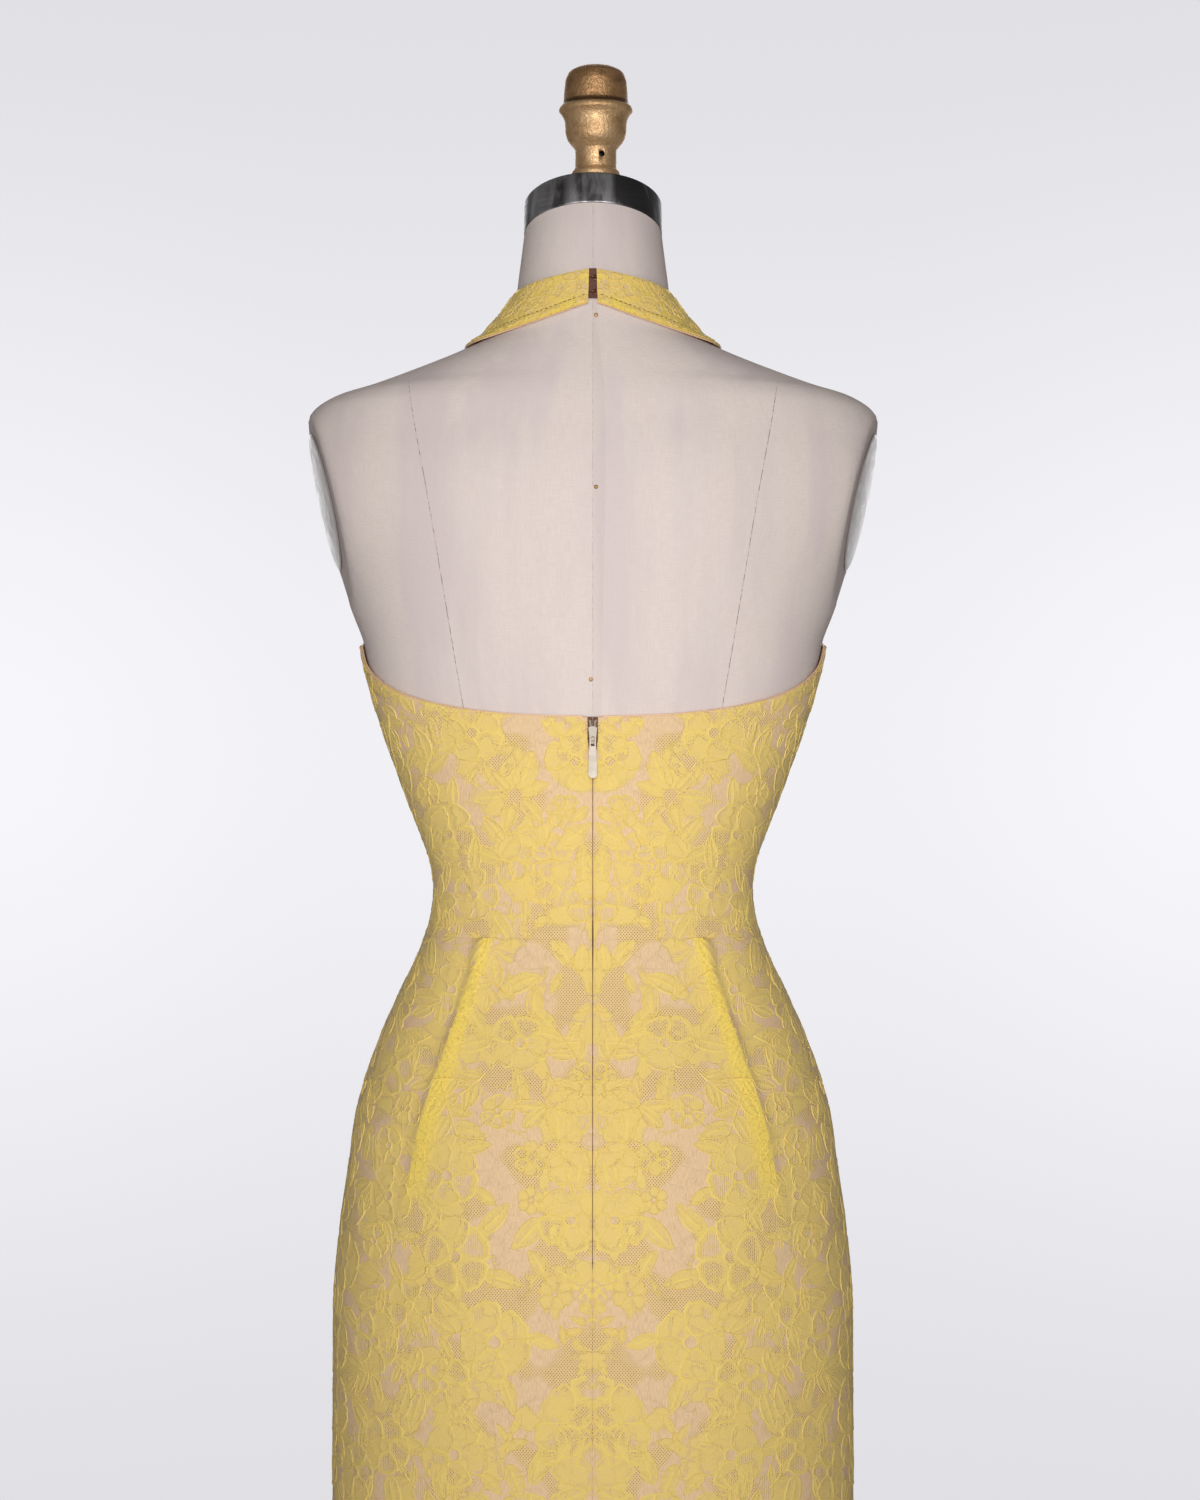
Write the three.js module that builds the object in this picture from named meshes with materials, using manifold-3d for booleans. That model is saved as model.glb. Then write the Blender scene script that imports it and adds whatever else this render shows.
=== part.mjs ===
// A floor-length halter evening dress of yellow floral lace over a nude lining, worn by a limbless
// dress form on a pole and a round base. Millimetres, +Z up. The dress faces -Y, the wearer's left is +X,
// and the origin is the middle of the base's underside, on the floor.
//
// Every cloth panel is a thin wall over one smooth figure. A point of the figure is named by its turn
// (degrees round the body: 0 centre back, 90 the wearer's left side, 180 centre front) and its level (the
// height of its section at the side seam). Linings and laces are offsets of the same points.
import * as THREE from "three";
import { mergeVertices } from "three/addons/utils/BufferGeometryUtils.js";
import Module from "manifold-3d";

const wasm = await Module();
wasm.setup();

// ---------------------------------------------------------------- driving dimensions
const HEM_LEVEL = 60;
const HIP_LEVEL = 880;
const WAIST_SEAM_LEVEL = 1046;
const BACK_TOP_LEVEL = 1200; // top edge of the bodice at centre back
const SIDE_TOP_LEVEL = 1254; // top edge of the bodice at the side seam
const SHOULDER_NECK_LEVEL = 1497; // the halter's inner edge on the shoulder line
const FRONT_NECK_LEVEL = 1448; // the neckline at centre front
const NECK_TOP_LEVEL = 1548;
const TORSO_BOTTOM_LEVEL = 785;

const SEAM_GAP = 0.3;
const FIT_GAP = 1.5; // form to lining
const CLOTH_THICK = 1.0;
const LINING = { inner: FIT_GAP, outer: FIT_GAP + CLOTH_THICK };
const LACE = { inner: LINING.outer + SEAM_GAP, outer: LINING.outer + SEAM_GAP + CLOTH_THICK };

const ZIP_END_LEVEL = 829;
const ZIP_TAPE_HALF = 6.7; // from centre back to the tape's far edge
const ZIP_OPEN_HALF = 3.6; // half the opening round the slider
const ZIP_SHUT_HALF = 0.5; // half the slot below the slider
const SLIDER_LEVEL = 1188;
const SLIDER = { width: 6, height: 12, thick: 2.4 };
const PULL = { width: 6, length: 27, thick: 1.2 };

const PLATE = { level: 1357, out: 190.8, lean: 12.8, yaw: 9.5, width: 80, height: 100, thick: 1.5 };

const NECK_CAP = { radius: 49.6, height: 25, tilt: 19 };
const POLE_RADIUS = 16;
const BASE = { radius: 190, rim: 8, crown: 20 };

// ---------------------------------------------------------------- section tables
// half: half width at the side. front, back: depth at the centre. tilt: how far the section's plane rises
// towards the back, in degrees. square: 2 is an ellipse, more is fuller at the corners.
const UPPER_SECTIONS = [
  { level: 880, half: 170.8, front: 103, back: 114, tilt: 0, square: 2.25 },
  { level: 920, half: 165.2, front: 104.5, back: 110, tilt: 0, square: 2.25 },
  { level: 960, half: 153.7, front: 103, back: 101, tilt: 0, square: 2.2 },
  { level: 1000, half: 137.2, front: 98.5, back: 89, tilt: 0, square: 2.2 },
  { level: 1030, half: 122.8, front: 94, back: 80.5, tilt: 0, square: 2.2 },
  { level: 1046, half: 116.4, front: 92, back: 77.5, tilt: 0, square: 2.2 },
  { level: 1065, half: 111.3, front: 90.5, back: 75, tilt: 0, square: 2.2 },
  { level: 1080, half: 110.1, front: 90, back: 74, tilt: 0, square: 2.2 },
  { level: 1095, half: 111.5, front: 90.3, back: 74.3, tilt: 0, square: 2.2 },
  { level: 1120, half: 119.6, front: 91.5, back: 76.5, tilt: 0, square: 2.2 },
  { level: 1150, half: 131, front: 94, back: 80, tilt: 0, square: 2.25 },
  { level: 1180, half: 141.9, front: 97.5, back: 84.5, tilt: 0, square: 2.25 },
  { level: 1210, half: 152.2, front: 101, back: 89.5, tilt: 0, square: 2.3 },
  { level: 1240, half: 160.6, front: 103.5, back: 94.5, tilt: 0, square: 2.3 },
  { level: 1254, half: 163.2, front: 104, back: 96.5, tilt: 0, square: 2.3 },
  { level: 1275, half: 171, front: 103.5, back: 99.5, tilt: 0, square: 2.3 },
  { level: 1300, half: 180.5, front: 101.5, back: 102, tilt: 0, square: 2.3 },
  { level: 1325, half: 194.5, front: 98, back: 103.5, tilt: 0, square: 2.25 },
  { level: 1350, half: 207, front: 92.5, back: 103.5, tilt: 0, square: 2.2 },
  { level: 1380, half: 213, front: 84, back: 101, tilt: 0, square: 2.15 },
  { level: 1405, half: 209, front: 75.5, back: 96, tilt: 0, square: 2.1 },
  { level: 1421, half: 200.5, front: 69.5, back: 91.5, tilt: 1.5, square: 2.1 },
  { level: 1430, half: 187, front: 66, back: 88, tilt: 2.5, square: 2.05 },
  { level: 1437, half: 164, front: 63, back: 85, tilt: 3, square: 2 },
  { level: 1447, half: 134, front: 59.5, back: 80, tilt: 4.5, square: 2 },
  { level: 1458, half: 103, front: 57, back: 74, tilt: 6.5, square: 2 },
  { level: 1465, half: 86, front: 55.5, back: 70.5, tilt: 8, square: 2 },
  { level: 1475, half: 75.2, front: 54, back: 66, tilt: 10, square: 2 },
  { level: 1487, half: 64.2, front: 53, back: 61.5, tilt: 12, square: 2 },
  { level: 1501, half: 55.4, front: 52, back: 57.5, tilt: 14, square: 2 },
  { level: 1515, half: 53.6, front: 51, back: 54.5, tilt: 16, square: 2 },
  { level: 1530, half: 51.6, front: 49.5, back: 51.5, tilt: 17.5, square: 2 },
  { level: 1548, half: 49.4, front: 46.8, back: 46.8, tilt: 19, square: 2 },
];
const TORSO_FOOT_SECTIONS = [
  { level: 785, half: 152, front: 90, back: 94, tilt: 0, square: 2.2 },
  { level: 830, half: 168, front: 99, back: 108, tilt: 0, square: 2.25 },
];
const SKIRT_SECTIONS = [
  { level: 60, half: 208, front: 146, back: 154, tilt: 0, square: 2.05 },
  { level: 150, half: 199, front: 139, back: 147, tilt: 0, square: 2.05 },
  { level: 300, half: 189.5, front: 129, back: 138, tilt: 0, square: 2.1 },
  { level: 450, half: 184, front: 122, back: 131, tilt: 0, square: 2.15 },
  { level: 600, half: 181.2, front: 117.5, back: 126.5, tilt: 0, square: 2.2 },
  { level: 700, half: 180.9, front: 114.5, back: 123.5, tilt: 0, square: 2.2 },
  { level: 780, half: 180.8, front: 111, back: 120.5, tilt: 0, square: 2.25 },
  { level: 830, half: 177.4, front: 107.5, back: 118, tilt: 0, square: 2.25 },
];

// Soft rises on the figure, in pairs. x, level: middle. rise: how far it stands out. wide, up, down: reach.
// bridge: the share of the rise that is left between the two of a pair.
const BUST = { x: 88, level: 1250, rise: 30, wide: 50, up: 62, down: 46, bridge: 0.4, facing: -1 };
const SHOULDER_BLADES = { x: 74, level: 1362, rise: 6, wide: 46, up: 46, down: 66, bridge: 0.1, facing: 1 };
const SEAT = { x: 72, level: 888, rise: 9, wide: 54, up: 62, down: 60, bridge: 0.3, facing: 1 };
// Cloth spans the hollow between, and hangs straight from the seat's fullest level.
const BUST_CLOTH = { ...BUST, bridge: 0.86 };
const SEAT_CLOTH = { ...SEAT, down: 260, bridge: 0.8 };

const FORM = {
  sections: [...TORSO_FOOT_SECTIONS, ...UPPER_SECTIONS],
  rises: [BUST, SHOULDER_BLADES, SEAT],
};
const CLOTH = {
  sections: [...SKIRT_SECTIONS, ...UPPER_SECTIONS],
  rises: [BUST_CLOTH, SEAT_CLOTH],
};

// The halter's outer edge in front, from the side seam to the shoulder line. x: distance from centre front.
const ARMHOLE_EDGE = [
  { level: 1254, x: 163.8 },
  { level: 1278, x: 157 },
  { level: 1310, x: 136 },
  { level: 1350, x: 118 },
  { level: 1400, x: 108 },
  { level: 1437, x: 102 },
  { level: 1455, x: 96 },
  { level: 1463, x: 88.5 },
];
// The neck band's edges, from centre back to the shoulder line.
const BAND_EDGES = [
  { turn: 0, low: 1478.5, high: 1500 },
  { turn: 30, low: 1467.5, high: 1497 },
  { turn: 60, low: 1461.5, high: 1496.5 },
  { turn: 90, low: 1463, high: 1497 },
];
// The back dart of the skirt, as the turn of its fold and how far the fold stands out.
const DART = [
  { level: 845, turn: 46, rise: 0 },
  { level: 900, turn: 43.5, rise: 0.7 },
  { level: 1000, turn: 39, rise: 1.2 },
  { level: 1046, turn: 38, rise: 1.4 },
];
const DART_HALF_TURN = 2.2;
const SHOULDER_SEAM_TURN = 0.15;

// Levels at which the walls have a row of points.
const SKIRT_LEVELS = [HEM_LEVEL, 150, 300, 450, 600, 700, 780, 830, 880, 920, 960, 1000, 1030];
const BODICE_LEVELS = [1065, 1080, 1095, 1120, 1150, 1180, 1210, 1240];
const BODICE_BACK_ROWS = [0, 0.17, 0.34, 0.5, 0.66, 0.8, 0.89, 1]; // shares of the way up
const UPPER_OUTER_LEVELS = [
  1254, 1264, 1276, 1290, 1310, 1335, 1360, 1385, 1405, 1420, 1432, 1442, 1450, 1457, 1463,
];
const UPPER_CLIMB_ROWS = 7; // of them, the rows that end on centre front
const TORSO_LEVELS = [
  785, 830, 880, 920, 960, 1000, 1030, 1046, 1065, 1080, 1095, 1120, 1150, 1180, 1210, 1240, 1254, 1264, 1276,
  1290, 1310, 1335, 1360, 1380, 1398, 1412, 1422, 1430, 1438, 1446, 1453, 1460, 1467, 1476, 1486, 1496, 1506,
  1518, 1532, 1548,
];
const QUARTER_COLUMNS = 9; // columns of points in a quarter turn

// ---------------------------------------------------------------- the figure
const radians = THREE.MathUtils.degToRad;

// A smooth value between the rows of a table, with no overshoot: a monotone cubic.
function between(rows, by, name, at) {
  const last = rows.length - 1;
  const x = THREE.MathUtils.clamp(at, rows[0][by], rows[last][by]);
  let i = 0;
  while (i < last - 1 && x > rows[i + 1][by]) i += 1;
  const step = (k) => rows[k + 1][by] - rows[k][by];
  const slope = (k) => (rows[k + 1][name] - rows[k][name]) / step(k);
  const tangent = (k) => {
    if (k === 0) return slope(0);
    if (k === last) return slope(last - 1);
    const before = slope(k - 1);
    const after = slope(k);
    if (before * after <= 0) return 0;
    const w1 = 2 * step(k) + step(k - 1);
    const w2 = step(k) + 2 * step(k - 1);
    return (w1 + w2) / (w1 / before + w2 / after);
  };
  const h = step(i);
  const s = (x - rows[i][by]) / h;
  const a = rows[i][name];
  const b = rows[i + 1][name];
  return (
    (1 + 2 * s) * (1 - s) ** 2 * a +
    s * (1 - s) ** 2 * h * tangent(i) +
    s * s * (3 - 2 * s) * b +
    s * s * (s - 1) * h * tangent(i + 1)
  );
}

// The shoulders are cut flat for the arm plates above this level.
const ARM_FOOT_LEVEL = 1285;

// How far out the arm plate's plane lies at a depth y and a height z.
function armPlane(y, z) {
  const up = (z - PLATE.level) * Math.tan(radians(PLATE.lean));
  return PLATE.out + up - y * Math.tan(radians(PLATE.yaw));
}

// The figure's point at a turn and a level.
function figurePoint(figure, turn, level) {
  const value = (name) => between(figure.sections, "level", name, level);
  const sine = Math.sin(radians(turn));
  const cosine = Math.cos(radians(turn));
  const n = value("square");
  const full = (Math.abs(sine) ** n + Math.abs(cosine) ** n) ** (-1 / n);
  let x = value("half") * full * sine;
  let y = value(cosine < 0 ? "front" : "back") * full * cosine;
  for (const rise of figure.rises) {
    if (rise.facing * cosine <= 0) continue;
    const across = (Math.abs(x) - rise.x) / rise.wide;
    const along = (level - rise.level) / (level > rise.level ? rise.up : rise.down);
    const kept = across < 0 ? rise.bridge : 0;
    const share = THREE.MathUtils.lerp(Math.exp(-across * across), 1, kept);
    y += rise.rise * cosine * share * Math.exp(-along * along);
  }
  const z = level + y * Math.tan(radians(value("tilt")));
  if (z > ARM_FOOT_LEVEL) x = THREE.MathUtils.clamp(x, -armPlane(y, z), armPlane(y, z));
  return new THREE.Vector3(x, y, z);
}

// The figure's outward direction there.
function figureNormal(figure, turn, level) {
  const e = 0.5;
  const round = figurePoint(figure, turn + e, level).sub(figurePoint(figure, turn - e, level));
  const up = figurePoint(figure, turn, level + e).sub(figurePoint(figure, turn, level - e));
  return up.cross(round).normalize();
}

// The turn at which the figure is x away from the centre, in front.
function frontTurn(x, level) {
  let near = 90;
  let far = 180;
  for (let k = 0; k < 40; k += 1) {
    const middle = (near + far) / 2;
    if (figurePoint(CLOTH, middle, level).x > x) near = middle;
    else far = middle;
  }
  return near;
}

// The turn of a point a short distance x from centre back.
function backTurn(x, level) {
  const row = between(CLOTH.sections, "level", "half", level);
  return THREE.MathUtils.radToDeg(Math.asin(x / row));
}

// ---------------------------------------------------------------- cloth walls
// A sheet of points on the figure, each named by turn, level and rise, joined by faces that look outwards.
class Sheet {
  constructor() {
    this.points = [];
    this.faces = [];
    this.index = new Map();
  }

  point({ turn, level, rise = 0 }) {
    const round = turn <= -180 ? turn + 360 : turn;
    const key = round.toFixed(4) + " " + level.toFixed(3);
    if (!this.index.has(key)) {
      this.index.set(key, this.points.length);
      this.points.push({ turn: round, level, rise });
    }
    return this.index.get(key);
  }

  // place(column, row) gives a point; columns run in the direction of a growing turn if direction is 1.
  grid(columns, rows, place, direction = 1) {
    const at = (i, j) => this.point(place(i, j));
    for (let j = 0; j < rows; j += 1) {
      for (let i = 0; i < columns; i += 1) {
        const [a, b, c, d] = [at(i, j), at(i + 1, j), at(i + 1, j + 1), at(i, j + 1)];
        if (direction > 0) this.faces.push([a, d, c], [a, c, b]);
        else this.faces.push([a, c, d], [a, b, c]);
      }
    }
    return this;
  }

  // The closed wall between two offsets from the figure. The sheet's open edges get a strip each.
  wall({ inner, outer }, figure = CLOTH) {
    const count = this.points.length;
    const positions = new Float32Array(count * 6);
    this.points.forEach(({ turn, level, rise }, i) => {
      const p = figurePoint(figure, turn, level);
      const n = figureNormal(figure, turn, level);
      p.clone().addScaledVector(n, outer + rise).toArray(positions, i * 3);
      p.clone().addScaledVector(n, inner).toArray(positions, (count + i) * 3);
    });
    const triangles = [];
    const edges = new Set();
    for (const [a, b, c] of this.faces) {
      triangles.push(a, b, c, count + a, count + c, count + b);
      for (const [u, v] of [[a, b], [b, c], [c, a]]) edges.add(u + " " + v);
    }
    for (const edge of edges) {
      const [u, v] = edge.split(" ").map(Number);
      if (!edges.has(v + " " + u)) triangles.push(v, u, count + u, v, count + u, count + v);
    }
    const geometry = new THREE.BufferGeometry();
    geometry.setAttribute("position", new THREE.BufferAttribute(positions, 3));
    geometry.setIndex(triangles);
    return geometry;
  }
}

// Half a seam's gap, as a turn.
function seamTurn(level) {
  return THREE.MathUtils.radToDeg(SEAM_GAP / 2 / between(CLOTH.sections, "level", "half", level));
}

// Half the gap at centre back of the lace and of the lining.
function laceOpening(level) {
  if (level < ZIP_END_LEVEL) return SEAM_GAP / 2;
  const shut = SLIDER_LEVEL - 18;
  const open = SLIDER_LEVEL - 7;
  return THREE.MathUtils.mapLinear(
    THREE.MathUtils.clamp(level, shut, open), shut, open, ZIP_SHUT_HALF, ZIP_OPEN_HALF);
}
function liningOpening(level) {
  return level < ZIP_END_LEVEL ? SEAM_GAP / 2 : ZIP_TAPE_HALF + SEAM_GAP;
}

// The top edge of the back bodice: level at the centre, swept up to the side.
function backTop(turn) {
  const lift = (turn / 90) ** 2.2;
  return THREE.MathUtils.lerp(BACK_TOP_LEVEL, SIDE_TOP_LEVEL, lift);
}

// The turns of a back panel's columns from its edge at centre back, one of them beside the zip's tape.
function edgeTurns(opening, level) {
  const edge = backTurn(opening(level), level);
  const tape = backTurn(ZIP_TAPE_HALF + SEAM_GAP, level);
  return opening === laceOpening ? [edge, tape] : [edge];
}

// The turns of a skirt back's columns at a level, with one on the dart's fold and one each side of it.
function skirtBackTurns(opening, level) {
  const dart = between(DART, "level", "turn", level);
  const inside = [0.3, 0.54, 0.76].map((share) => share * dart);
  const outside = [0.22, 0.44, 0.64, 0.82].map((share) => THREE.MathUtils.lerp(dart, 90, share));
  const fold = [dart - DART_HALF_TURN, dart, dart + DART_HALF_TURN];
  return [...edgeTurns(opening, level), ...inside, ...fold, ...outside, 90 - seamTurn(level)];
}

function skirtBack(side, opening) {
  const levels = [...SKIRT_LEVELS, WAIST_SEAM_LEVEL - SEAM_GAP / 2];
  const columns = skirtBackTurns(opening, HIP_LEVEL).length - 1;
  const place = (i, j) => {
    const level = levels[j];
    const turn = skirtBackTurns(opening, level)[i];
    const onFold = opening === laceOpening && turn === between(DART, "level", "turn", level);
    const rise = onFold && level > DART[0].level ? between(DART, "level", "rise", level) : 0;
    return { turn: side * turn, level, rise };
  };
  return new Sheet().grid(columns, levels.length - 1, place, side);
}

function skirtFront() {
  const levels = [...SKIRT_LEVELS, WAIST_SEAM_LEVEL - SEAM_GAP / 2];
  const columns = 2 * QUARTER_COLUMNS;
  const place = (i, j) => {
    const level = levels[j];
    const edge = 90 + seamTurn(level);
    return { turn: THREE.MathUtils.lerp(edge, 360 - edge, i / columns), level };
  };
  return new Sheet().grid(columns, levels.length - 1, place);
}

function bodiceBack(side, opening) {
  const bottom = WAIST_SEAM_LEVEL + SEAM_GAP / 2;
  const edges = edgeTurns(opening, bottom).length;
  const columns = edges + QUARTER_COLUMNS - 1;
  const place = (i, j) => {
    const share = (i - edges + 1) / QUARTER_COLUMNS;
    const level = THREE.MathUtils.lerp(bottom, backTop(90 * Math.max(share, 0)), BODICE_BACK_ROWS[j]);
    const turn = share > 0 ? share * (90 - seamTurn(level)) : edgeTurns(opening, level)[i];
    return { turn: side * turn, level };
  };
  return new Sheet().grid(columns, BODICE_BACK_ROWS.length - 1, place, side);
}

// The neckline's level at a turn, in front.
function neckline(turn) {
  return THREE.MathUtils.lerp(SHOULDER_NECK_LEVEL, FRONT_NECK_LEVEL, Math.sin(radians(turn - 90)) ** 2);
}

// The upper front's inner and outer ends in one of its rows. The inner end climbs centre front, then
// follows the neckline to the shoulder line. The outer end follows the armhole.
function upperFrontEnds(row) {
  const last = UPPER_OUTER_LEVELS.length - 1;
  const ridge = 90 + SHOULDER_SEAM_TURN;
  const across = Math.max(row - UPPER_CLIMB_ROWS, 0) / (last - UPPER_CLIMB_ROWS);
  const innerTurn = THREE.MathUtils.lerp(180, ridge, across);
  const climbed = THREE.MathUtils.lerp(SIDE_TOP_LEVEL, FRONT_NECK_LEVEL, row / UPPER_CLIMB_ROWS);
  const innerLevel = across > 0 ? neckline(innerTurn) : climbed;
  const outerLevel = UPPER_OUTER_LEVELS[row];
  const x = between(ARMHOLE_EDGE, "level", "x", outerLevel);
  const outerTurn = row === last ? ridge : Math.max(frontTurn(x, outerLevel), 90 + seamTurn(outerLevel));
  return { innerTurn, innerLevel, outerTurn, outerLevel };
}

function bodiceFront() {
  const bottom = WAIST_SEAM_LEVEL + SEAM_GAP / 2;
  const lowLevels = [bottom, ...BODICE_LEVELS];
  const upperRows = UPPER_OUTER_LEVELS.length - 1;
  const sheet = new Sheet();
  for (const side of [1, -1]) {
    const place = (i, j) => {
      const share = i / QUARTER_COLUMNS;
      if (j < lowLevels.length) {
        const level = lowLevels[j];
        const turn = THREE.MathUtils.lerp(180, 90 + seamTurn(level), share);
        return { turn: side * turn, level };
      }
      const ends = upperFrontEnds(j - lowLevels.length);
      const turn = THREE.MathUtils.lerp(ends.innerTurn, ends.outerTurn, share);
      const level = THREE.MathUtils.lerp(ends.innerLevel, ends.outerLevel, share);
      return { turn: side * turn, level };
    };
    sheet.grid(QUARTER_COLUMNS, lowLevels.length + upperRows, place, -side);
  }
  return sheet;
}

function neckBand(side) {
  const columns = 8;
  const rows = 3;
  const place = (i, j) => {
    const ridge = 90 - SHOULDER_SEAM_TURN;
    const turn = THREE.MathUtils.lerp(BAND_END_TURN, ridge, i / columns);
    const low = between(BAND_EDGES, "turn", "low", turn);
    const high = between(BAND_EDGES, "turn", "high", turn);
    return { turn: side * turn, level: THREE.MathUtils.lerp(low, high, j / rows) };
  };
  return new Sheet().grid(columns, rows, place, side);
}

// An outline of (out of the body, up), extruded across it: its own x becomes +Y, its y +Z and its depth +X.
function acrossBody(outline, depth, curveSegments) {
  const geometry = new THREE.ExtrudeGeometry(outline, { depth, bevelEnabled: false, curveSegments });
  return geometry.applyMatrix4(new THREE.Matrix4().makeBasis(
    new THREE.Vector3(0, 1, 0), new THREE.Vector3(0, 0, 1), new THREE.Vector3(1, 0, 0)));
}

// A zip tape lies in the lining's layer beside centre back.
function zipTape(side) {
  const rise = BACK_TOP_LEVEL - WAIST_SEAM_LEVEL;
  const bodice = BODICE_BACK_ROWS.map((share) => WAIST_SEAM_LEVEL + rise * share);
  const levels = [...SKIRT_LEVELS, ...bodice].filter((level) => level > ZIP_END_LEVEL + SEAM_GAP);
  const face = (offset) => levels.map((level) => {
    const point = figurePoint(CLOTH, 0, level);
    point.addScaledVector(figureNormal(CLOTH, 0, level), offset);
    return new THREE.Vector2(point.y, point.z);
  });
  const ribbon = new THREE.Shape([...face(LINING.outer - 0.1), ...face(LINING.inner).reverse()]);
  const start = side > 0 ? SEAM_GAP / 2 : -ZIP_TAPE_HALF;
  return acrossBody(ribbon, ZIP_TAPE_HALF - SEAM_GAP / 2, 1).translate(start, 0, 0);
}

// ---------------------------------------------------------------- solids that are joined or cut
function solidOf(geometry) {
  const bare = geometry.clone();
  bare.deleteAttribute("normal");
  bare.deleteAttribute("uv");
  const merged = mergeVertices(bare, 1e-4);
  const mesh = new wasm.Mesh({
    numProp: 3,
    vertProperties: new Float32Array(merged.attributes.position.array),
    triVerts: new Uint32Array(merged.index.array),
  });
  return new wasm.Manifold(mesh);
}

function geometryOf(solid) {
  const mesh = solid.getMesh();
  const geometry = new THREE.BufferGeometry();
  geometry.setAttribute("position", new THREE.BufferAttribute(mesh.vertProperties, 3));
  geometry.setIndex(new THREE.BufferAttribute(mesh.triVerts, 1));
  return geometry;
}

// A body of revolution about +Z from (radius, height) pairs that start and end on the axis.
function turned(profile, segments) {
  const points = profile.map(([radius, height]) => new THREE.Vector2(radius, height));
  return new THREE.LatheGeometry(points, segments).rotateX(Math.PI / 2);
}

// A rod along X.
function crossRod(radius, length, segments) {
  return new THREE.CylinderGeometry(radius, radius, length, segments).rotateZ(Math.PI / 2);
}

// ---------------------------------------------------------------- the dress form
function torso() {
  const columns = 4 * QUARTER_COLUMNS;
  const rings = TORSO_LEVELS.map((level) =>
    Array.from({ length: columns }, (_, i) => figurePoint(FORM, (360 * i) / columns, level)));
  const points = rings.flat();
  const triangles = [];
  for (let j = 0; j < rings.length - 1; j += 1) {
    for (let i = 0; i < columns; i += 1) {
      const next = (i + 1) % columns;
      const [a, b] = [j * columns + i, j * columns + next];
      const [c, d] = [b + columns, a + columns];
      triangles.push(a, d, c, a, c, b);
    }
  }
  const foot = points.push(new THREE.Vector3(0, 0, TORSO_BOTTOM_LEVEL)) - 1;
  const head = points.push(new THREE.Vector3(0, 0, NECK_TOP_LEVEL)) - 1;
  const top = (rings.length - 1) * columns;
  for (let i = 0; i < columns; i += 1) {
    const next = (i + 1) % columns;
    triangles.push(foot, i, next, head, top + next, top + i);
  }
  const geometry = new THREE.BufferGeometry().setFromPoints(points);
  geometry.setIndex(triangles);
  return geometry;
}

// The cap is a plain drum with a softened upper edge. Its own Z is the neck's axis.
function neckCap() {
  const { radius, height } = NECK_CAP;
  const soft = 2;
  const profile = [
    [0, SEAM_GAP],
    [radius, SEAM_GAP],
    [radius, height - soft],
    [radius - soft * 0.3, height - soft * 0.3],
    [radius - soft, height],
    [0, height],
  ];
  return turned(profile, 40);
}

// The finial's profile, from its foot inside the cap's outline to the knob's crown, on a vertical axis.
const FINIAL_BOTTOM = 1562;
const FINIAL_PROFILE = [
  { height: 1562, radius: 17.4 },
  { height: 1594.5, radius: 17.4 },
  { height: 1597, radius: 14.8 },
  { height: 1611, radius: 14.8 },
  { height: 1613.5, radius: 17 },
  { height: 1617, radius: 20 },
  { height: 1622, radius: 21.8 },
  { height: 1632, radius: 22.3 },
  { height: 1636, radius: 24.4 },
  { height: 1638.5, radius: 26.6 },
  { height: 1641, radius: 26.2 },
  { height: 1644, radius: 23.2 },
  { height: 1652, radius: 22.8 },
  { height: 1661, radius: 22 },
  { height: 1667, radius: 19.4 },
  { height: 1670.5, radius: 12.5 },
];
const FINIAL_TOP = 1671.5;
const FINIAL_OFF_CENTRE = -2;
const SET_HOLE = { height: 1605.5, radius: 2.2, depth: 7, turn: 17 };

function finial() {
  const outline = FINIAL_PROFILE.map(({ radius, height }) => [radius, height]);
  const body = turned([[0, FINIAL_BOTTOM], ...outline, [0, FINIAL_TOP]], 28);
  const reach = 80;
  const capTop = NECK_CAP.height + SEAM_GAP;
  const below = new THREE.BoxGeometry(reach, reach, reach).translate(0, 0, capTop - reach / 2);
  below.rotateX(radians(NECK_CAP.tilt)).translate(0, 0, NECK_TOP_LEVEL);
  below.translate(-FINIAL_OFF_CENTRE, 0, 0);
  const stem = 14.8;
  const hole = new THREE.CylinderGeometry(SET_HOLE.radius, SET_HOLE.radius, SET_HOLE.depth * 2, 16);
  hole.translate(0, stem, SET_HOLE.height).rotateZ(radians(SET_HOLE.turn));
  return geometryOf(solidOf(body).subtract(solidOf(below)).subtract(solidOf(hole)));
}

// An arm plate is a shallow oval dish, its own Z pointing away from the body.
function armPlate() {
  const { thick } = PLATE;
  const profile = [
    [0, 0],
    [0.97, 0],
    [1, thick * 0.5],
    [0.96, thick],
    [0.5, thick * 1.5],
    [0, thick * 1.7],
  ];
  return turned(profile, 32).scale(PLATE.width / 2, PLATE.height / 2, 1);
}

function placeArmPlate(mesh, side) {
  const outward = new THREE.Vector3(
    1, Math.tan(radians(PLATE.yaw)), -Math.tan(radians(PLATE.lean))).normalize();
  const up = new THREE.Vector3(0, 0, 1).addScaledVector(outward, -outward.z).normalize();
  const across = new THREE.Vector3().crossVectors(up, outward);
  const rest = new THREE.Vector3(PLATE.out, 0, PLATE.level).addScaledVector(outward, SEAM_GAP);
  const turn = new THREE.Matrix4().makeBasis(across, up, outward).setPosition(rest);
  const holder = new THREE.Group();
  turn.decompose(mesh.position, mesh.quaternion, mesh.scale);
  holder.add(mesh);
  if (side < 0) {
    mesh.position.x *= -1;
    mesh.quaternion.set(mesh.quaternion.x, -mesh.quaternion.y, -mesh.quaternion.z, mesh.quaternion.w);
  }
  return holder;
}

const BASE_COLLAR_TOP = 78;
const FLANGE = { radius: 62, thick: 7 };

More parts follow.
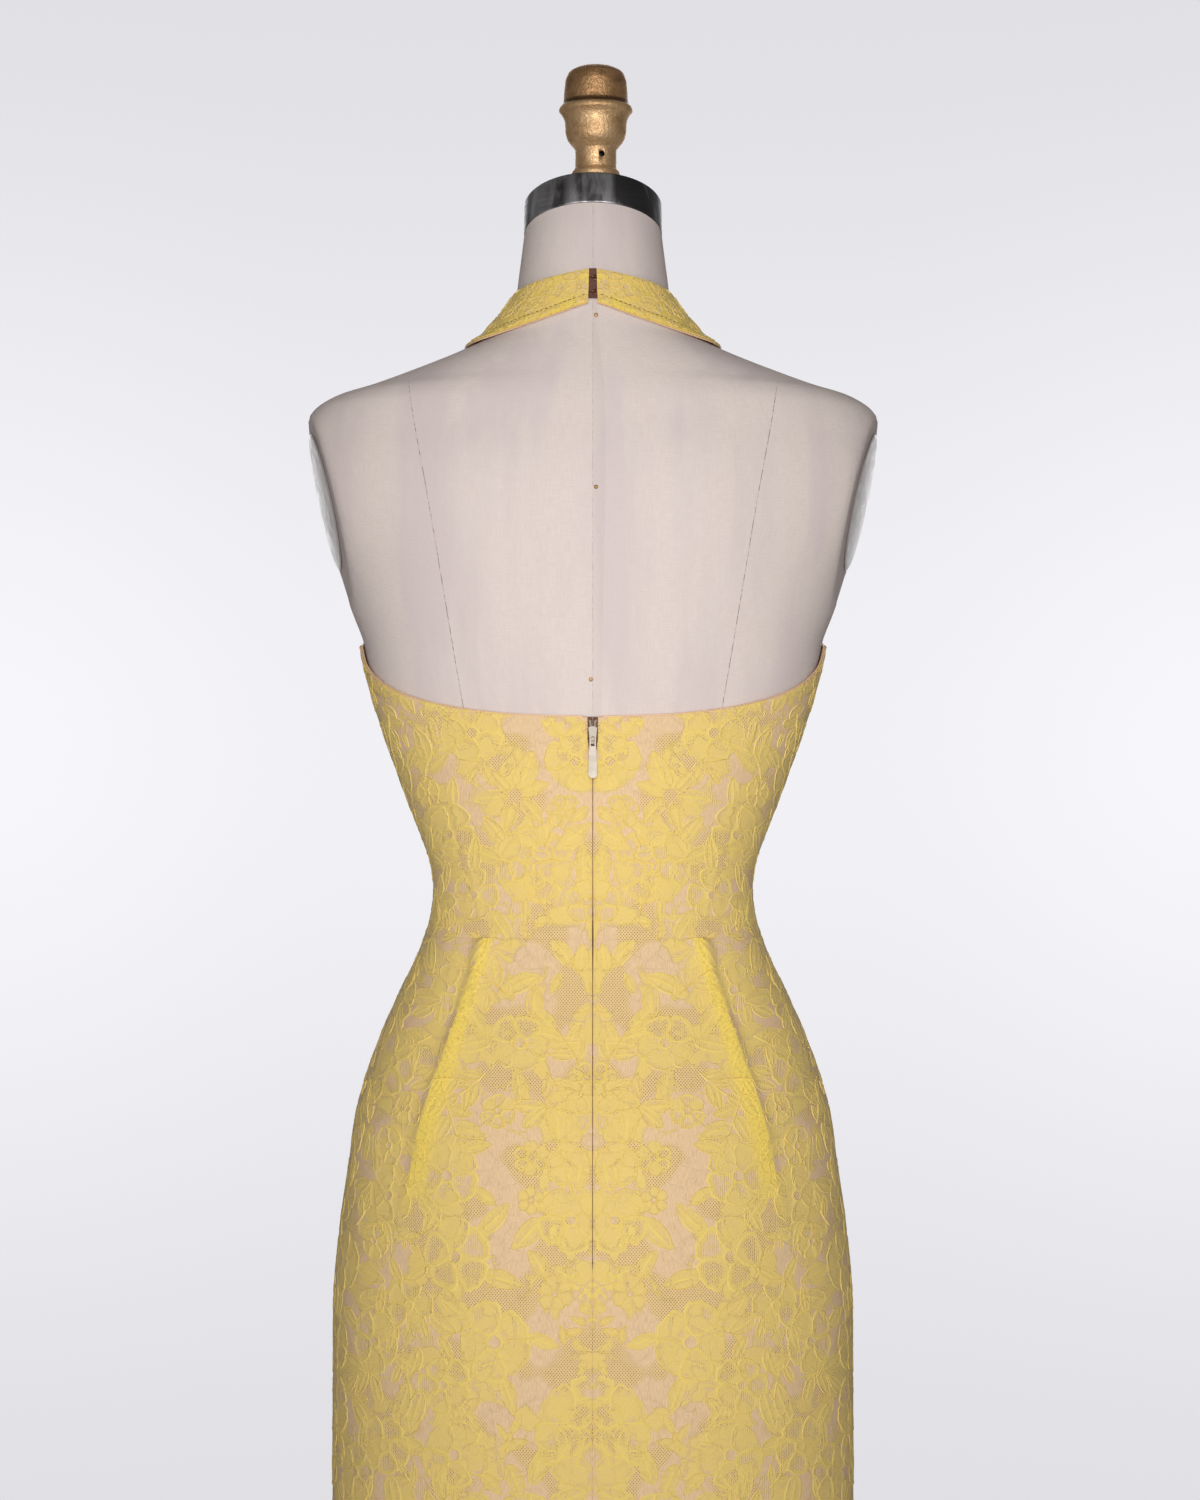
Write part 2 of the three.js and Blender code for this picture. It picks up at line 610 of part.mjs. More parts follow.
function base() {
  const { radius, rim, crown } = BASE;
  const hub = 34;
  return turned([[0, 0], [radius - 1.5, 0], [radius, 2], [radius, rim], [radius - 8, rim + 3],
    [hub + 30, crown - 2], [hub, crown], [0, crown]], 48);
}

function baseCollar() {
  const bore = POLE_RADIUS + SEAM_GAP;
  const foot = BASE.crown + SEAM_GAP;
  return turned([[bore, foot], [32, foot], [32, foot + 8], [23, foot + 14], [22, BASE_COLLAR_TOP - 2],
    [20.5, BASE_COLLAR_TOP], [bore, BASE_COLLAR_TOP], [bore, foot]], 28);
}

function pole() {
  const foot = BASE.crown + SEAM_GAP;
  const head = TORSO_BOTTOM_LEVEL - FLANGE.thick - 2 * SEAM_GAP;
  return turned([[0, foot], [POLE_RADIUS, foot], [POLE_RADIUS, head], [0, head]], 28);
}

function flange() {
  const top = TORSO_BOTTOM_LEVEL - SEAM_GAP;
  const { radius, thick } = FLANGE;
  return turned([[0, top - thick], [radius - 2, top - thick], [radius, top - thick + 2], [radius, top],
    [0, top]], 32);
}

// ---------------------------------------------------------------- zip hardware and neck fastening
// The slider lies along the tapes: out of the body from its seat by so much, and leaning as they do.
const sliderLean = figureNormal(CLOTH, 0, SLIDER_LEVEL);
const sliderSeat = figurePoint(CLOTH, 0, SLIDER_LEVEL).addScaledVector(sliderLean, LINING.outer + SEAM_GAP);
const HINGE_RISE = SLIDER.thick + 1.5;
const HINGE_DROP = 2.5; // below the slider's middle
const sliderUp = new THREE.Vector3(0, -sliderLean.z, sliderLean.y);
const hinge = sliderSeat.clone()
  .addScaledVector(sliderLean, HINGE_RISE)
  .addScaledVector(sliderUp, -HINGE_DROP);
const BAIL = { half: 0.8, inside: 1.1, wall: 0.7 };
const BAR_RADIUS = 0.6;

// A flat outline in a plan of (across, up), made as thick as depth, standing out of the body along +Y.
function plate(outline, depth, curveSegments) {
  const geometry = new THREE.ExtrudeGeometry(outline, { depth, bevelEnabled: false, curveSegments });
  return geometry.rotateX(Math.PI / 2).translate(0, depth, 0);
}

// The slider: a tapered shell with a bail, the small bridge that the pull tab's bar runs through.
function zipSlider() {
  const { width, height, thick } = SLIDER;
  const plan = new THREE.Shape();
  plan.moveTo(-width / 2, height / 2 - 1.5);
  plan.quadraticCurveTo(-width / 2, height / 2, 0, height / 2);
  plan.quadraticCurveTo(width / 2, height / 2, width / 2, height / 2 - 1.5);
  plan.lineTo(width / 2 - 1.1, -height / 2);
  plan.lineTo(-width / 2 + 1.1, -height / 2);
  plan.closePath();
  const shell = plate(plan, thick, 6);

  const arch = new THREE.Shape();
  const outer = BAIL.inside + BAIL.wall;
  const low = thick - 0.4;
  arch.moveTo(low, -outer);
  arch.lineTo(HINGE_RISE, -outer);
  arch.absarc(HINGE_RISE, 0, outer, -Math.PI / 2, Math.PI / 2, false);
  arch.lineTo(low, outer);
  arch.lineTo(low, BAIL.inside);
  arch.lineTo(HINGE_RISE, BAIL.inside);
  arch.absarc(HINGE_RISE, 0, BAIL.inside, Math.PI / 2, -Math.PI / 2, true);
  arch.lineTo(low, -BAIL.inside);
  arch.closePath();
  const bail = acrossBody(arch, 2 * BAIL.half, 8).translate(-BAIL.half, 0, -HINGE_DROP);
  const slope = Math.atan2(sliderLean.z, sliderLean.y);
  return geometryOf(solidOf(shell).add(solidOf(bail))).rotateX(slope)
    .translate(sliderSeat.x, sliderSeat.y, sliderSeat.z);
}

// The pull tab: a bar through the bail, two short arms, and a drop-shaped leaf that hangs from them.
function zipPull() {
  const { width, length, thick } = PULL;
  const bar = crossRod(BAR_RADIUS, 4.4, 12);
  const solids = [solidOf(bar)];
  for (const side of [1, -1]) {
    const arm = new THREE.BoxGeometry(1, thick, 6.5).translate(side * 1.75, 0, -2.75);
    solids.push(solidOf(arm));
  }
  const leaf = new THREE.Shape();
  const top = -5;
  leaf.moveTo(-2.3, top);
  leaf.bezierCurveTo(-2.5, top - 4, -width / 2, -length + 6, -width / 2, -length + 3);
  leaf.absarc(0, -length + 3, width / 2, Math.PI, 2 * Math.PI, false);
  leaf.bezierCurveTo(width / 2, -length + 6, 2.5, top - 4, 2.3, top);
  leaf.closePath();
  solids.push(solidOf(plate(leaf, thick, 8).translate(0, -thick / 2, 0)));
  return geometryOf(solids.reduce((whole, piece) => whole.add(piece)));
}

// The neck band's ends stop short of centre back by this much, and hooks bridge the gap.
const BAND_END_TURN = backTurn(2.8, 1490);
const HOOK_LEVELS = { upper: 1494, lower: 1484 };

const WIRE_RADIUS = 0.45;

// A wire that follows the bands. A row gives x from centre back, a step in level and a lift off the lace.
function neckWire(level, rows, steps) {
  const points = rows.map(({ x, step, lift }) => {
    const turn = backTurn(x, level + step);
    const point = figurePoint(CLOTH, turn, level + step);
    return point.addScaledVector(figureNormal(CLOTH, turn, level + step), LACE.outer + WIRE_RADIUS + lift);
  });
  const section = new THREE.Shape();
  section.absarc(0, 0, WIRE_RADIUS, 0, 2 * Math.PI, false);
  const extrudePath = new THREE.CatmullRomCurve3(points, false, "centripetal");
  return new THREE.ExtrudeGeometry(section, { steps, extrudePath, curveSegments: 3 });
}

// The hook stands out of the left band's end and its crook turns back inside the loop of the eye, which
// stands out of the right band's end. A negative lift sinks a wire between the ends.
const HOOK_WIRE = [
  { x: 2.45, step: 0, lift: -0.9 },
  { x: 1.2, step: 0, lift: -0.1 },
  { x: 0.15, step: 0, lift: 0.15 },
  { x: -1.2, step: 0, lift: 0 },
  { x: -2, step: 0, lift: -0.95 },
  { x: -1.3, step: 0, lift: -1.95 },
  { x: -0.2, step: 0, lift: -2.1 },
];
const EYE_WIRE = [
  { x: -2.45, step: 1.6, lift: -1 },
  { x: -0.9, step: 1.5, lift: -1 },
  { x: 0.15, step: 0, lift: -1 },
  { x: -0.9, step: -1.5, lift: -1 },
  { x: -2.45, step: -1.6, lift: -1 },
];

// ---------------------------------------------------------------- the scene graph
const LACE_YELLOW = { color: 0xe6c765, roughness: 0.75, metalness: 0 };
const NUDE = { color: 0xe3bf96, roughness: 0.6, metalness: 0 };
const LINEN = { color: 0xcfc4bb, roughness: 0.9, metalness: 0 };
const STEEL = { color: 0x8b8c8e, roughness: 0.3, metalness: 1 };
const DARK_STEEL = { color: 0x3a3a3c, roughness: 0.45, metalness: 0.6 };
const OLD_GOLD = { color: 0xb08a54, roughness: 0.45, metalness: 0.9 };
const IVORY = { color: 0xe9ddc4, roughness: 0.35, metalness: 0.1 };
const BRONZE = { color: 0x6d4630, roughness: 0.4, metalness: 0.9 };

const part = new THREE.Group();

function add(name, geometry, finish, parent = part) {
  const mesh = new THREE.Mesh(geometry, new THREE.MeshStandardMaterial(finish));
  mesh.name = name;
  parent.add(mesh);
  return mesh;
}

function addDressForm() {
  const form = new THREE.Group();
  add("form_torso", torso(), LINEN, form);
  const cap = add("form_neck_cap", neckCap(), STEEL, form);
  cap.position.z = NECK_TOP_LEVEL;
  cap.rotation.x = radians(NECK_CAP.tilt);
  add("form_finial", finial(), OLD_GOLD, form).position.x = FINIAL_OFF_CENTRE;
  for (const [name, side] of [["left", 1], ["right", -1]]) {
    const plate = new THREE.Mesh(armPlate(), new THREE.MeshStandardMaterial(STEEL));
    plate.name = "form_arm_plate_" + name;
    form.add(placeArmPlate(plate, side));
  }
  add("form_flange", flange(), DARK_STEEL, form);
  add("form_pole", pole(), STEEL, form);
  add("form_base_collar", baseCollar(), DARK_STEEL, form);
  add("form_base", base(), DARK_STEEL, form);
  part.add(form);
}

function addDress() {
  const layers = [
    { name: "lining", wall: LINING, finish: NUDE, opening: liningOpening },
    { name: "lace", wall: LACE, finish: LACE_YELLOW, opening: laceOpening },
  ];
  for (const { name, wall, finish, opening } of layers) {
    const layer = new THREE.Group();
    add(name + "_bodice_front", bodiceFront().wall(wall), finish, layer);
    add(name + "_skirt_front", skirtFront().wall(wall), finish, layer);
    for (const [hand, side] of [["left", 1], ["right", -1]]) {
      add(name + "_bodice_back_" + hand, bodiceBack(side, opening).wall(wall), finish, layer);
      add(name + "_skirt_back_" + hand, skirtBack(side, opening).wall(wall), finish, layer);
      add(name + "_neck_band_" + hand, neckBand(side).wall(wall), finish, layer);
    }
    part.add(layer);
  }
}

function addFastenings() {
  add("zip_tape_left", zipTape(1), NUDE);
  add("zip_tape_right", zipTape(-1), NUDE);
  add("zip_slider", zipSlider(), IVORY);
  add("zip_pull_tab", zipPull(), IVORY).position.copy(hinge);
  for (const [name, level] of Object.entries(HOOK_LEVELS)) {
    add("neck_hook_" + name, neckWire(level, HOOK_WIRE, 10), BRONZE);
    add("neck_eye_" + name, neckWire(level, EYE_WIRE, 12), BRONZE);
  }
}

addDressForm();
addDress();
addFastenings();

export default part;
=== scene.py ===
"""A floor-length halter evening dress of yellow floral lace over a nude lining, on a limbless dress form.

The cloth is built on one smooth figure. A point of the figure is named by its turn (degrees round the body:
0 centre back, 90 the wearer's left side, 180 centre front) and its level (the height of its section at the
side). Lengths are millimetres until a mesh is made, where they become metres.
"""
import math

import bpy
import numpy as np
from mathutils import Matrix, Vector


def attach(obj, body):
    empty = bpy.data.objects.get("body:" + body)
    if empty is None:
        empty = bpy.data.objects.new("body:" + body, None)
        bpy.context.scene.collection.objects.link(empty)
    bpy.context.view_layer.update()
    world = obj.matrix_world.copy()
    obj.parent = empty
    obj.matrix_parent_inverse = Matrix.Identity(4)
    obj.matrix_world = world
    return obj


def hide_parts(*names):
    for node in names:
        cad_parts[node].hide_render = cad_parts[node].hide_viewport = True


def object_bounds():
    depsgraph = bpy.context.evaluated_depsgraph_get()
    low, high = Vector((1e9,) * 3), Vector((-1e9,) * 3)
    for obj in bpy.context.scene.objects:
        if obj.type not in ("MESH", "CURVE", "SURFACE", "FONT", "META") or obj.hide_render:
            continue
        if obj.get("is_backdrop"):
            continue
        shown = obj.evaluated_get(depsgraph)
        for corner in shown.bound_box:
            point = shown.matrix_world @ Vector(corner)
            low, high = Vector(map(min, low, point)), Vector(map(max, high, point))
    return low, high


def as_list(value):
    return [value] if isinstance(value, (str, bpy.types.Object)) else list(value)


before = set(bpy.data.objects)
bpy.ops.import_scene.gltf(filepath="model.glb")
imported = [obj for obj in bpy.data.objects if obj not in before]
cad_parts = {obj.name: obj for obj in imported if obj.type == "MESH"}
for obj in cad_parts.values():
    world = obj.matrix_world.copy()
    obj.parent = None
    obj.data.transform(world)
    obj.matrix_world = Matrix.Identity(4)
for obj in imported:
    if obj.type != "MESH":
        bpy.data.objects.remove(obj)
cad_box = [list(corner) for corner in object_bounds()]

MM = 0.001
BODY = "dress_on_form"

# ---------------------------------------------------------------- driving dimensions, as in the CAD part
HEM_LEVEL = 60.0
WAIST_LEVEL = 1046.0
BACK_TOP_LEVEL = 1200.0
SIDE_TOP_LEVEL = 1254.0
SHOULDER_NECK_LEVEL = 1497.0
FRONT_NECK_LEVEL = 1448.0
NECK_TOP_LEVEL = 1548.0
TORSO_BOTTOM_LEVEL = 785.0
SEAM_GAP = 0.08  # the sewn seams, closed but for the groove
LINING = (1.5, 2.5)  # the wall's inner and outer distance from the figure
LACE = (2.7, 3.4)  # the inner side is 0.1 nearer the lining than in the CAD part
ZIP_END_LEVEL = 829.0
ZIP_TAPE_HALF = 6.7
ZIP_OPEN_HALF = 3.6
ZIP_SHUT_HALF = 0.28
SLIDER_LEVEL = 1188.0
ZIP_PARTING_LEVELS = (SLIDER_LEVEL - 18, SLIDER_LEVEL - 7)  # where the lace's edges draw apart
NECK_CAP = {"radius": 49.6, "height": 25.0, "tilt": 19.0}

SECTION_COLUMNS = ("level", "half", "front", "back", "tilt", "square")
UPPER_SECTIONS = (
    (880, 170.8, 103, 114, 0, 2.25),
    (920, 165.2, 104.5, 110, 0, 2.25),
    (960, 153.7, 103, 101, 0, 2.2),
    (1000, 137.2, 98.5, 89, 0, 2.2),
    (1030, 122.8, 94, 80.5, 0, 2.2),
    (1046, 116.4, 92, 77.5, 0, 2.2),
    (1065, 111.3, 90.5, 75, 0, 2.2),
    (1080, 110.1, 90, 74, 0, 2.2),
    (1095, 111.5, 90.3, 74.3, 0, 2.2),
    (1120, 119.6, 91.5, 76.5, 0, 2.2),
    (1150, 131, 94, 80, 0, 2.25),
    (1180, 141.9, 97.5, 84.5, 0, 2.25),
    (1210, 152.2, 101, 89.5, 0, 2.3),
    (1240, 160.6, 103.5, 94.5, 0, 2.3),
    (1254, 163.2, 104, 96.5, 0, 2.3),
    (1275, 171, 103.5, 99.5, 0, 2.3),
    (1300, 180.5, 101.5, 102, 0, 2.3),
    (1325, 194.5, 98, 103.5, 0, 2.25),
    (1350, 207, 92.5, 103.5, 0, 2.2),
    (1380, 213, 84, 101, 0, 2.15),
    (1405, 209, 75.5, 96, 0, 2.1),
    (1421, 200.5, 69.5, 91.5, 1.5, 2.1),
    (1430, 187, 66, 88, 2.5, 2.05),
    (1437, 164, 63, 85, 3, 2),
    (1447, 134, 59.5, 80, 4.5, 2),
    (1458, 103, 57, 74, 6.5, 2),
    (1465, 86, 55.5, 70.5, 8, 2),
    (1475, 75.2, 54, 66, 10, 2),
    (1487, 64.2, 53, 61.5, 12, 2),
    (1501, 55.4, 52, 57.5, 14, 2),
    (1515, 53.6, 51, 54.5, 16, 2),
    (1530, 51.6, 49.5, 51.5, 17.5, 2),
    (1548, 49.4, 46.8, 46.8, 19, 2),
)
TORSO_FOOT_SECTIONS = (
    (785, 152, 90, 94, 0, 2.2),
    (830, 168, 99, 108, 0, 2.25),
)
SKIRT_SECTIONS = (
    (60, 208, 146, 154, 0, 2.05),
    (150, 199, 139, 147, 0, 2.05),
    (300, 189.5, 129, 138, 0, 2.1),
    (450, 184, 122, 131, 0, 2.15),
    (600, 181.2, 117.5, 126.5, 0, 2.2),
    (700, 180.9, 114.5, 123.5, 0, 2.2),
    (780, 180.8, 111, 120.5, 0, 2.25),
    (830, 177.4, 107.5, 118, 0, 2.25),
)
BUST = {"x": 88, "level": 1250, "rise": 30, "wide": 50, "up": 62, "down": 46, "bridge": 0.4, "facing": -1}
BLADES = {"x": 74, "level": 1362, "rise": 6, "wide": 46, "up": 46, "down": 66, "bridge": 0.1, "facing": 1}
SEAT = {"x": 72, "level": 888, "rise": 9, "wide": 54, "up": 62, "down": 60, "bridge": 0.3, "facing": 1}
BUST_CLOTH = {**BUST, "bridge": 0.86}
SEAT_CLOTH = {**SEAT, "down": 260, "bridge": 0.8}
ARM_PLANE = {"level": 1357, "out": 190.8, "lean": 12.8, "yaw": 9.5, "foot": 1285}

ARMHOLE_EDGE = (  # level, distance from centre front
    (1254, 163.8), (1278, 157), (1310, 136), (1350, 118), (1400, 108), (1437, 102), (1455, 96),
    (1463, 88.5),
)
BAND_EDGES = (  # turn, lower edge's level, upper edge's level
    (0, 1478.5, 1500), (30, 1467.5, 1497), (60, 1461.5, 1496.5), (90, 1463, 1497),
)
DART = (  # level, turn of the back dart's fold, height of the fold
    (845, 46, 0), (900, 43.5, 1.3), (1000, 39, 2.3), (1046, 38, 2.8),
)
UPPER_OUTER_LEVELS = (
    1254, 1264, 1276, 1290, 1310, 1335, 1360, 1385, 1405, 1420, 1432, 1442, 1450, 1457, 1463,
)
UPPER_CLIMB_ROWS = 7
SHOULDER_SEAM_TURN = 0.15
BAND_MIDDLE_LEVEL = 1490.0
NECK_OPEN_HALF = 2.8  # half the gap between the neck band's ends
CURVE_STEP = 0.5  # of the tables that smooth curves are read from
SHARP_ANGLE = math.radians(55)  # steeper edges, such as a wall's rim, shade apart


# ---------------------------------------------------------------- the figure
class Smooth:
    """A column of a table as a smooth function of another one: a monotone cubic, sampled finely."""

    def __init__(self, xs, ys):
        x, y = np.asarray(xs, float), np.asarray(ys, float)
        h, slope = np.diff(x), np.diff(y) / np.diff(x)
        tangent = np.empty_like(x)
        tangent[0], tangent[-1] = slope[0], slope[-1]
        for k in range(1, len(x) - 1):
            before, after = slope[k - 1], slope[k]
            w1, w2 = 2 * h[k] + h[k - 1], h[k] + 2 * h[k - 1]
            tangent[k] = 0 if before * after <= 0 else (w1 + w2) / (w1 / before + w2 / after)
        self.x = np.append(np.arange(x[0], x[-1], CURVE_STEP), x[-1])
        i = np.clip(np.searchsorted(x, self.x, side="right") - 1, 0, len(h) - 1)
        s = (self.x - x[i]) / h[i]
        self.y = ((1 + 2 * s) * (1 - s) ** 2 * y[i] + s * (1 - s) ** 2 * h[i] * tangent[i]
                  + s * s * (3 - 2 * s) * y[i + 1] + s * s * (s - 1) * h[i] * tangent[i + 1])

    def __call__(self, at):
        return np.interp(at, self.x, self.y)


def lerp(a, b, share):
    return a + (b - a) * share


def bell(x):
    return np.exp(-x * x)


def smoothstep(x, low, high):
    t = np.clip((x - low) / (high - low), 0, 1)
    return t * t * (3 - 2 * t)


class Figure:
    def __init__(self, sections, rises):
        columns = list(zip(*sections))
        self.value = {name: Smooth(columns[0], columns[k]) for k, name in enumerate(SECTION_COLUMNS) if k}
        self.rises = rises

    def point(self, turn, level):
        turn, level = np.broadcast_arrays(np.asarray(turn, float), np.asarray(level, float))
        v = {name: curve(level) for name, curve in self.value.items()}
        sine, cosine = np.sin(np.radians(turn)), np.cos(np.radians(turn))
        n = v["square"]
        full = (np.abs(sine) ** n + np.abs(cosine) ** n) ** (-1 / n)
        x = v["half"] * full * sine
        y = np.where(cosine < 0, v["front"], v["back"]) * full * cosine
        for r in self.rises:
            across = (np.abs(x) - r["x"]) / r["wide"]
            along = (level - r["level"]) / np.where(level > r["level"], r["up"], r["down"])
            share = lerp(bell(across), 1, np.where(across < 0, r["bridge"], 0))
            y = y + np.where(r["facing"] * cosine > 0, r["rise"] * cosine * share * bell(along), 0)
        z = level + y * np.tan(np.radians(v["tilt"]))
        up = (z - ARM_PLANE["level"]) * math.tan(math.radians(ARM_PLANE["lean"]))
        limit = ARM_PLANE["out"] + up - y * math.tan(math.radians(ARM_PLANE["yaw"]))
        x = np.where(z > ARM_PLANE["foot"], np.clip(x, -limit, limit), x)
        return np.stack([x, y, z], axis=-1)

    def normal(self, turn, level):
        e = 0.5
        turned = self.point(turn + e, level) - self.point(turn - e, level)
        up = self.point(turn, level + e) - self.point(turn, level - e)
        n = np.cross(up, turned)
        return n / np.linalg.norm(n, axis=-1, keepdims=True)

    def offset(self, turn, level, height):
        return self.point(turn, level) + self.normal(turn, level) * np.asarray(height)[..., None]


FORM = Figure(TORSO_FOOT_SECTIONS + UPPER_SECTIONS, (BUST, BLADES, SEAT))
CLOTH = Figure(SKIRT_SECTIONS + UPPER_SECTIONS, (BUST_CLOTH, SEAT_CLOTH))
HALF_WIDTH = CLOTH.value["half"]
dart_turn = Smooth(*zip(*[(row[0], row[1]) for row in DART]))
dart_rise = Smooth(*zip(*[(row[0], row[2]) for row in DART]))
band_low = Smooth(*zip(*[(row[0], row[1]) for row in BAND_EDGES]))
band_high = Smooth(*zip(*[(row[0], row[2]) for row in BAND_EDGES]))
armhole_x = Smooth(*zip(*ARMHOLE_EDGE))


class ArcTable:
    """Distances along the cloth from centre back and from centre front, and from them back to turns."""

    STEP_LEVEL, STEP_U = 4.0, 2.0

    def __init__(self):
        self.levels = np.arange(HEM_LEVEL - 8, NECK_TOP_LEVEL, self.STEP_LEVEL)
        self.turns = np.arange(0, 181.0)
        grid = CLOTH.point(self.turns[None, :], self.levels[:, None])
        legs = np.linalg.norm(np.diff(grid, axis=1), axis=-1)
        self.back = np.hstack([np.zeros((len(grid), 1)), np.cumsum(legs, axis=1)])
        self.front = self.back[:, -1:] - self.back
        self.us = np.arange(0, self.back[:, -1].max() + 2, self.STEP_U)
        us, turns = self.us, self.turns
        self.turn_from_back = np.array([np.interp(us, row, turns) for row in self.back])
        self.turn_from_front = np.array([np.interp(us, row[::-1], turns[::-1]) for row in self.front])
        rise = np.linalg.norm(np.gradient(grid, self.STEP_LEVEL, axis=0), axis=-1)
        self.steepness = np.maximum(rise, 1.0)

    @staticmethod
    def bilinear(table, row, column):
        row = np.clip(row, 0, table.shape[0] - 1.001)
        column = np.clip(column, 0, table.shape[1] - 1.001)
        i, j = row.astype(int), column.astype(int)
        a, b = row - i, column - j
        low = lerp(table[i, j], table[i, j + 1], b)
        high = lerp(table[i + 1, j], table[i + 1, j + 1], b)
        return lerp(low, high, a)

    def row(self, level):
        return (np.asarray(level, float) - self.levels[0]) / self.STEP_LEVEL

    def turn(self, u, level, face):
        table = self.turn_from_back if face == "back" else self.turn_from_front
        return self.bilinear(table, self.row(level), np.asarray(u, float) / self.STEP_U)

    def along(self, turn, level, face):
        table = self.back if face == "back" else self.front
        return self.bilinear(table, self.row(level), np.abs(np.asarray(turn, float)))

    def steep(self, turn, level):
        return self.bilinear(self.steepness, self.row(level), np.abs(np.asarray(turn, float)))


ARCS = ArcTable()


def side_seam(level):
    """Half a seam's gap as a turn."""
    return np.degrees(SEAM_GAP / 2 / HALF_WIDTH(level))


def lace_opening(level):
    shut, wide = ZIP_PARTING_LEVELS
    shut_half = ZIP_SHUT_HALF + 0.25 * bell((level - WAIST_LEVEL) / 16)
    open_half = lerp(shut_half, ZIP_OPEN_HALF, np.clip((level - shut) / (wide - shut), 0, 1))
    return np.where(level < ZIP_END_LEVEL, SEAM_GAP / 2, open_half)


def lining_opening(level):
    return np.where(level < ZIP_END_LEVEL, SEAM_GAP / 2, ZIP_TAPE_HALF + SEAM_GAP)


def back_turn(x, level):
    return np.degrees(np.arcsin(x / HALF_WIDTH(level)))


def back_top(turn):
    return lerp(BACK_TOP_LEVEL, SIDE_TOP_LEVEL, (np.clip(turn, 0, 90) / 90) ** 2.2)


def neckline(turn):
    return lerp(SHOULDER_NECK_LEVEL, FRONT_NECK_LEVEL, np.sin(np.radians(turn - 90)) ** 2)


def armhole_turn_table():
    levels = np.arange(SIDE_TOP_LEVEL, 1464.0)
    turns = np.arange(90, 180.0, 0.25)
    xs = CLOTH.point(turns[None, :], levels[:, None])[..., 0]
    wanted = armhole_x(levels)
    found = [np.interp(w, row[::-1], turns[::-1]) for w, row in zip(wanted, xs)]
    return levels, np.array(found)


ARMHOLE_LEVELS, ARMHOLE_TURNS = armhole_turn_table()


def armhole_turn(level):
    return np.interp(level, ARMHOLE_LEVELS, ARMHOLE_TURNS)


# ---------------------------------------------------------------- small relief of the sewn cloth
BAND_STITCH_UP = 5.5  # from the neck band's lower edge to its line of stitches
TUCK_DISTANCES = (79.0, 122.0)  # from centre back to the bodice's seam, at the waist and TUCK_HEIGHT above
TUCK_HEIGHT = 165
RIDGES = {  # middle, half width and rise of the ridges and grooves along a seam or edge
    "tuck": ((-3, 3, 0.5), (0, 1.2, -0.6)),
    "zip": ((3, 2.2, 0.55), (0, 0.8, -0.35)),
    "top": ((2.2, 1.6, 0.4), (6, 1, -0.3)),
    "side": ((3.5, 2.4, 0.4), (0, 0.9, -0.2)),
    "waist": ((3.4, 2.4, 0.2),),
    "hem": ((25, 6, 0.3),),
    "band_stitches": ((-2.8, 1.8, 0.35), (0, 0.8, -0.3)),
    "band_top": ((2, 2, 0.2),),
}
FOLD_WIDTHS = (10, 3.6)  # of the dart's fold, towards centre back and away from it
TROUGH = {"share": 0.18, "middle": 9.5, "width": 6}
GATHER = {"rise": 1.6, "middle": 4, "width": 2.5, "below": 9, "tall": 8}


def ridges(kind, distance):
    return sum(rise * bell((distance - middle) / width) for middle, width, rise in RIDGES[kind])


def relief(turn, level, u, face):
    """How far the sewn lace stands out from its plain wall: darts, rolled seams and edges."""
    turn = np.abs(turn)
    height = np.zeros(np.broadcast(turn, level).shape)
    to_waist = level - WAIST_LEVEL
    if face == "back":
        fold = u - ARCS.along(dart_turn(level), level, "back")
        sharp = np.where(fold < 0, bell(fold / FOLD_WIDTHS[0]), bell(fold / FOLD_WIDTHS[1]))
        below = (level < WAIST_LEVEL) & (level > DART[0][0])
        trough = TROUGH["share"] * dart_rise(level) * bell((fold - TROUGH["middle"]) / TROUGH["width"])
        height += np.where(below, dart_rise(level) * sharp - trough, 0)
        gather = bell((fold - GATHER["middle"]) / GATHER["width"])
        gather *= bell((to_waist + GATHER["below"]) / GATHER["tall"])
        height += np.where(level < WAIST_LEVEL, GATHER["rise"] * gather, 0)
        tuck = u - lerp(*TUCK_DISTANCES, to_waist / TUCK_HEIGHT)
        height += np.where(level > WAIST_LEVEL, ridges("tuck", tuck), 0)
        height += ridges("zip", u - lace_opening(level))
        height += np.where(level > WAIST_LEVEL, ridges("top", back_top(turn) - level), 0)
    from_side = np.abs(u - ARCS.along(90.0, level, face))
    height += np.where(level < SIDE_TOP_LEVEL + 2, ridges("side", from_side), 0)
    height += ridges("waist", np.abs(to_waist)) + ridges("hem", level - HEM_LEVEL)
    if face == "band":
        height += ridges("band_stitches", level - band_low(turn) - BAND_STITCH_UP)
        height += ridges("band_top", band_high(turn) - level)
    return height


# ---------------------------------------------------------------- meshes
def mesh_object(name, points, faces, attributes=None, smooth=True):
    """points in millimetres. attributes: name to one value or one vector a point."""
    mesh = bpy.data.meshes.new(name)
    mesh.from_pydata((np.asarray(points) * MM).tolist(), [], [list(map(int, f)) for f in faces])
    mesh.validate()
    for key, values in (attributes or {}).items():
        values = np.asarray(values, np.float32)
        kind, field = ("FLOAT", "value") if values.ndim == 1 else ("FLOAT_VECTOR", "vector")
        layer = mesh.attributes.new(key, kind, "POINT")
        layer.data.foreach_set(field, values.ravel())
    if smooth:
        mesh.shade_smooth()
        mesh.set_sharp_from_angle(angle=SHARP_ANGLE)
    piece = bpy.data.objects.new(name, mesh)
    bpy.context.scene.collection.objects.link(piece)
    return piece


def finish_piece(piece, material, replaces=()):
    piece.data.materials.clear()
    piece.data.materials.append(material)
    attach(piece, BODY)
    if replaces:
        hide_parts(*replaces)
    return piece


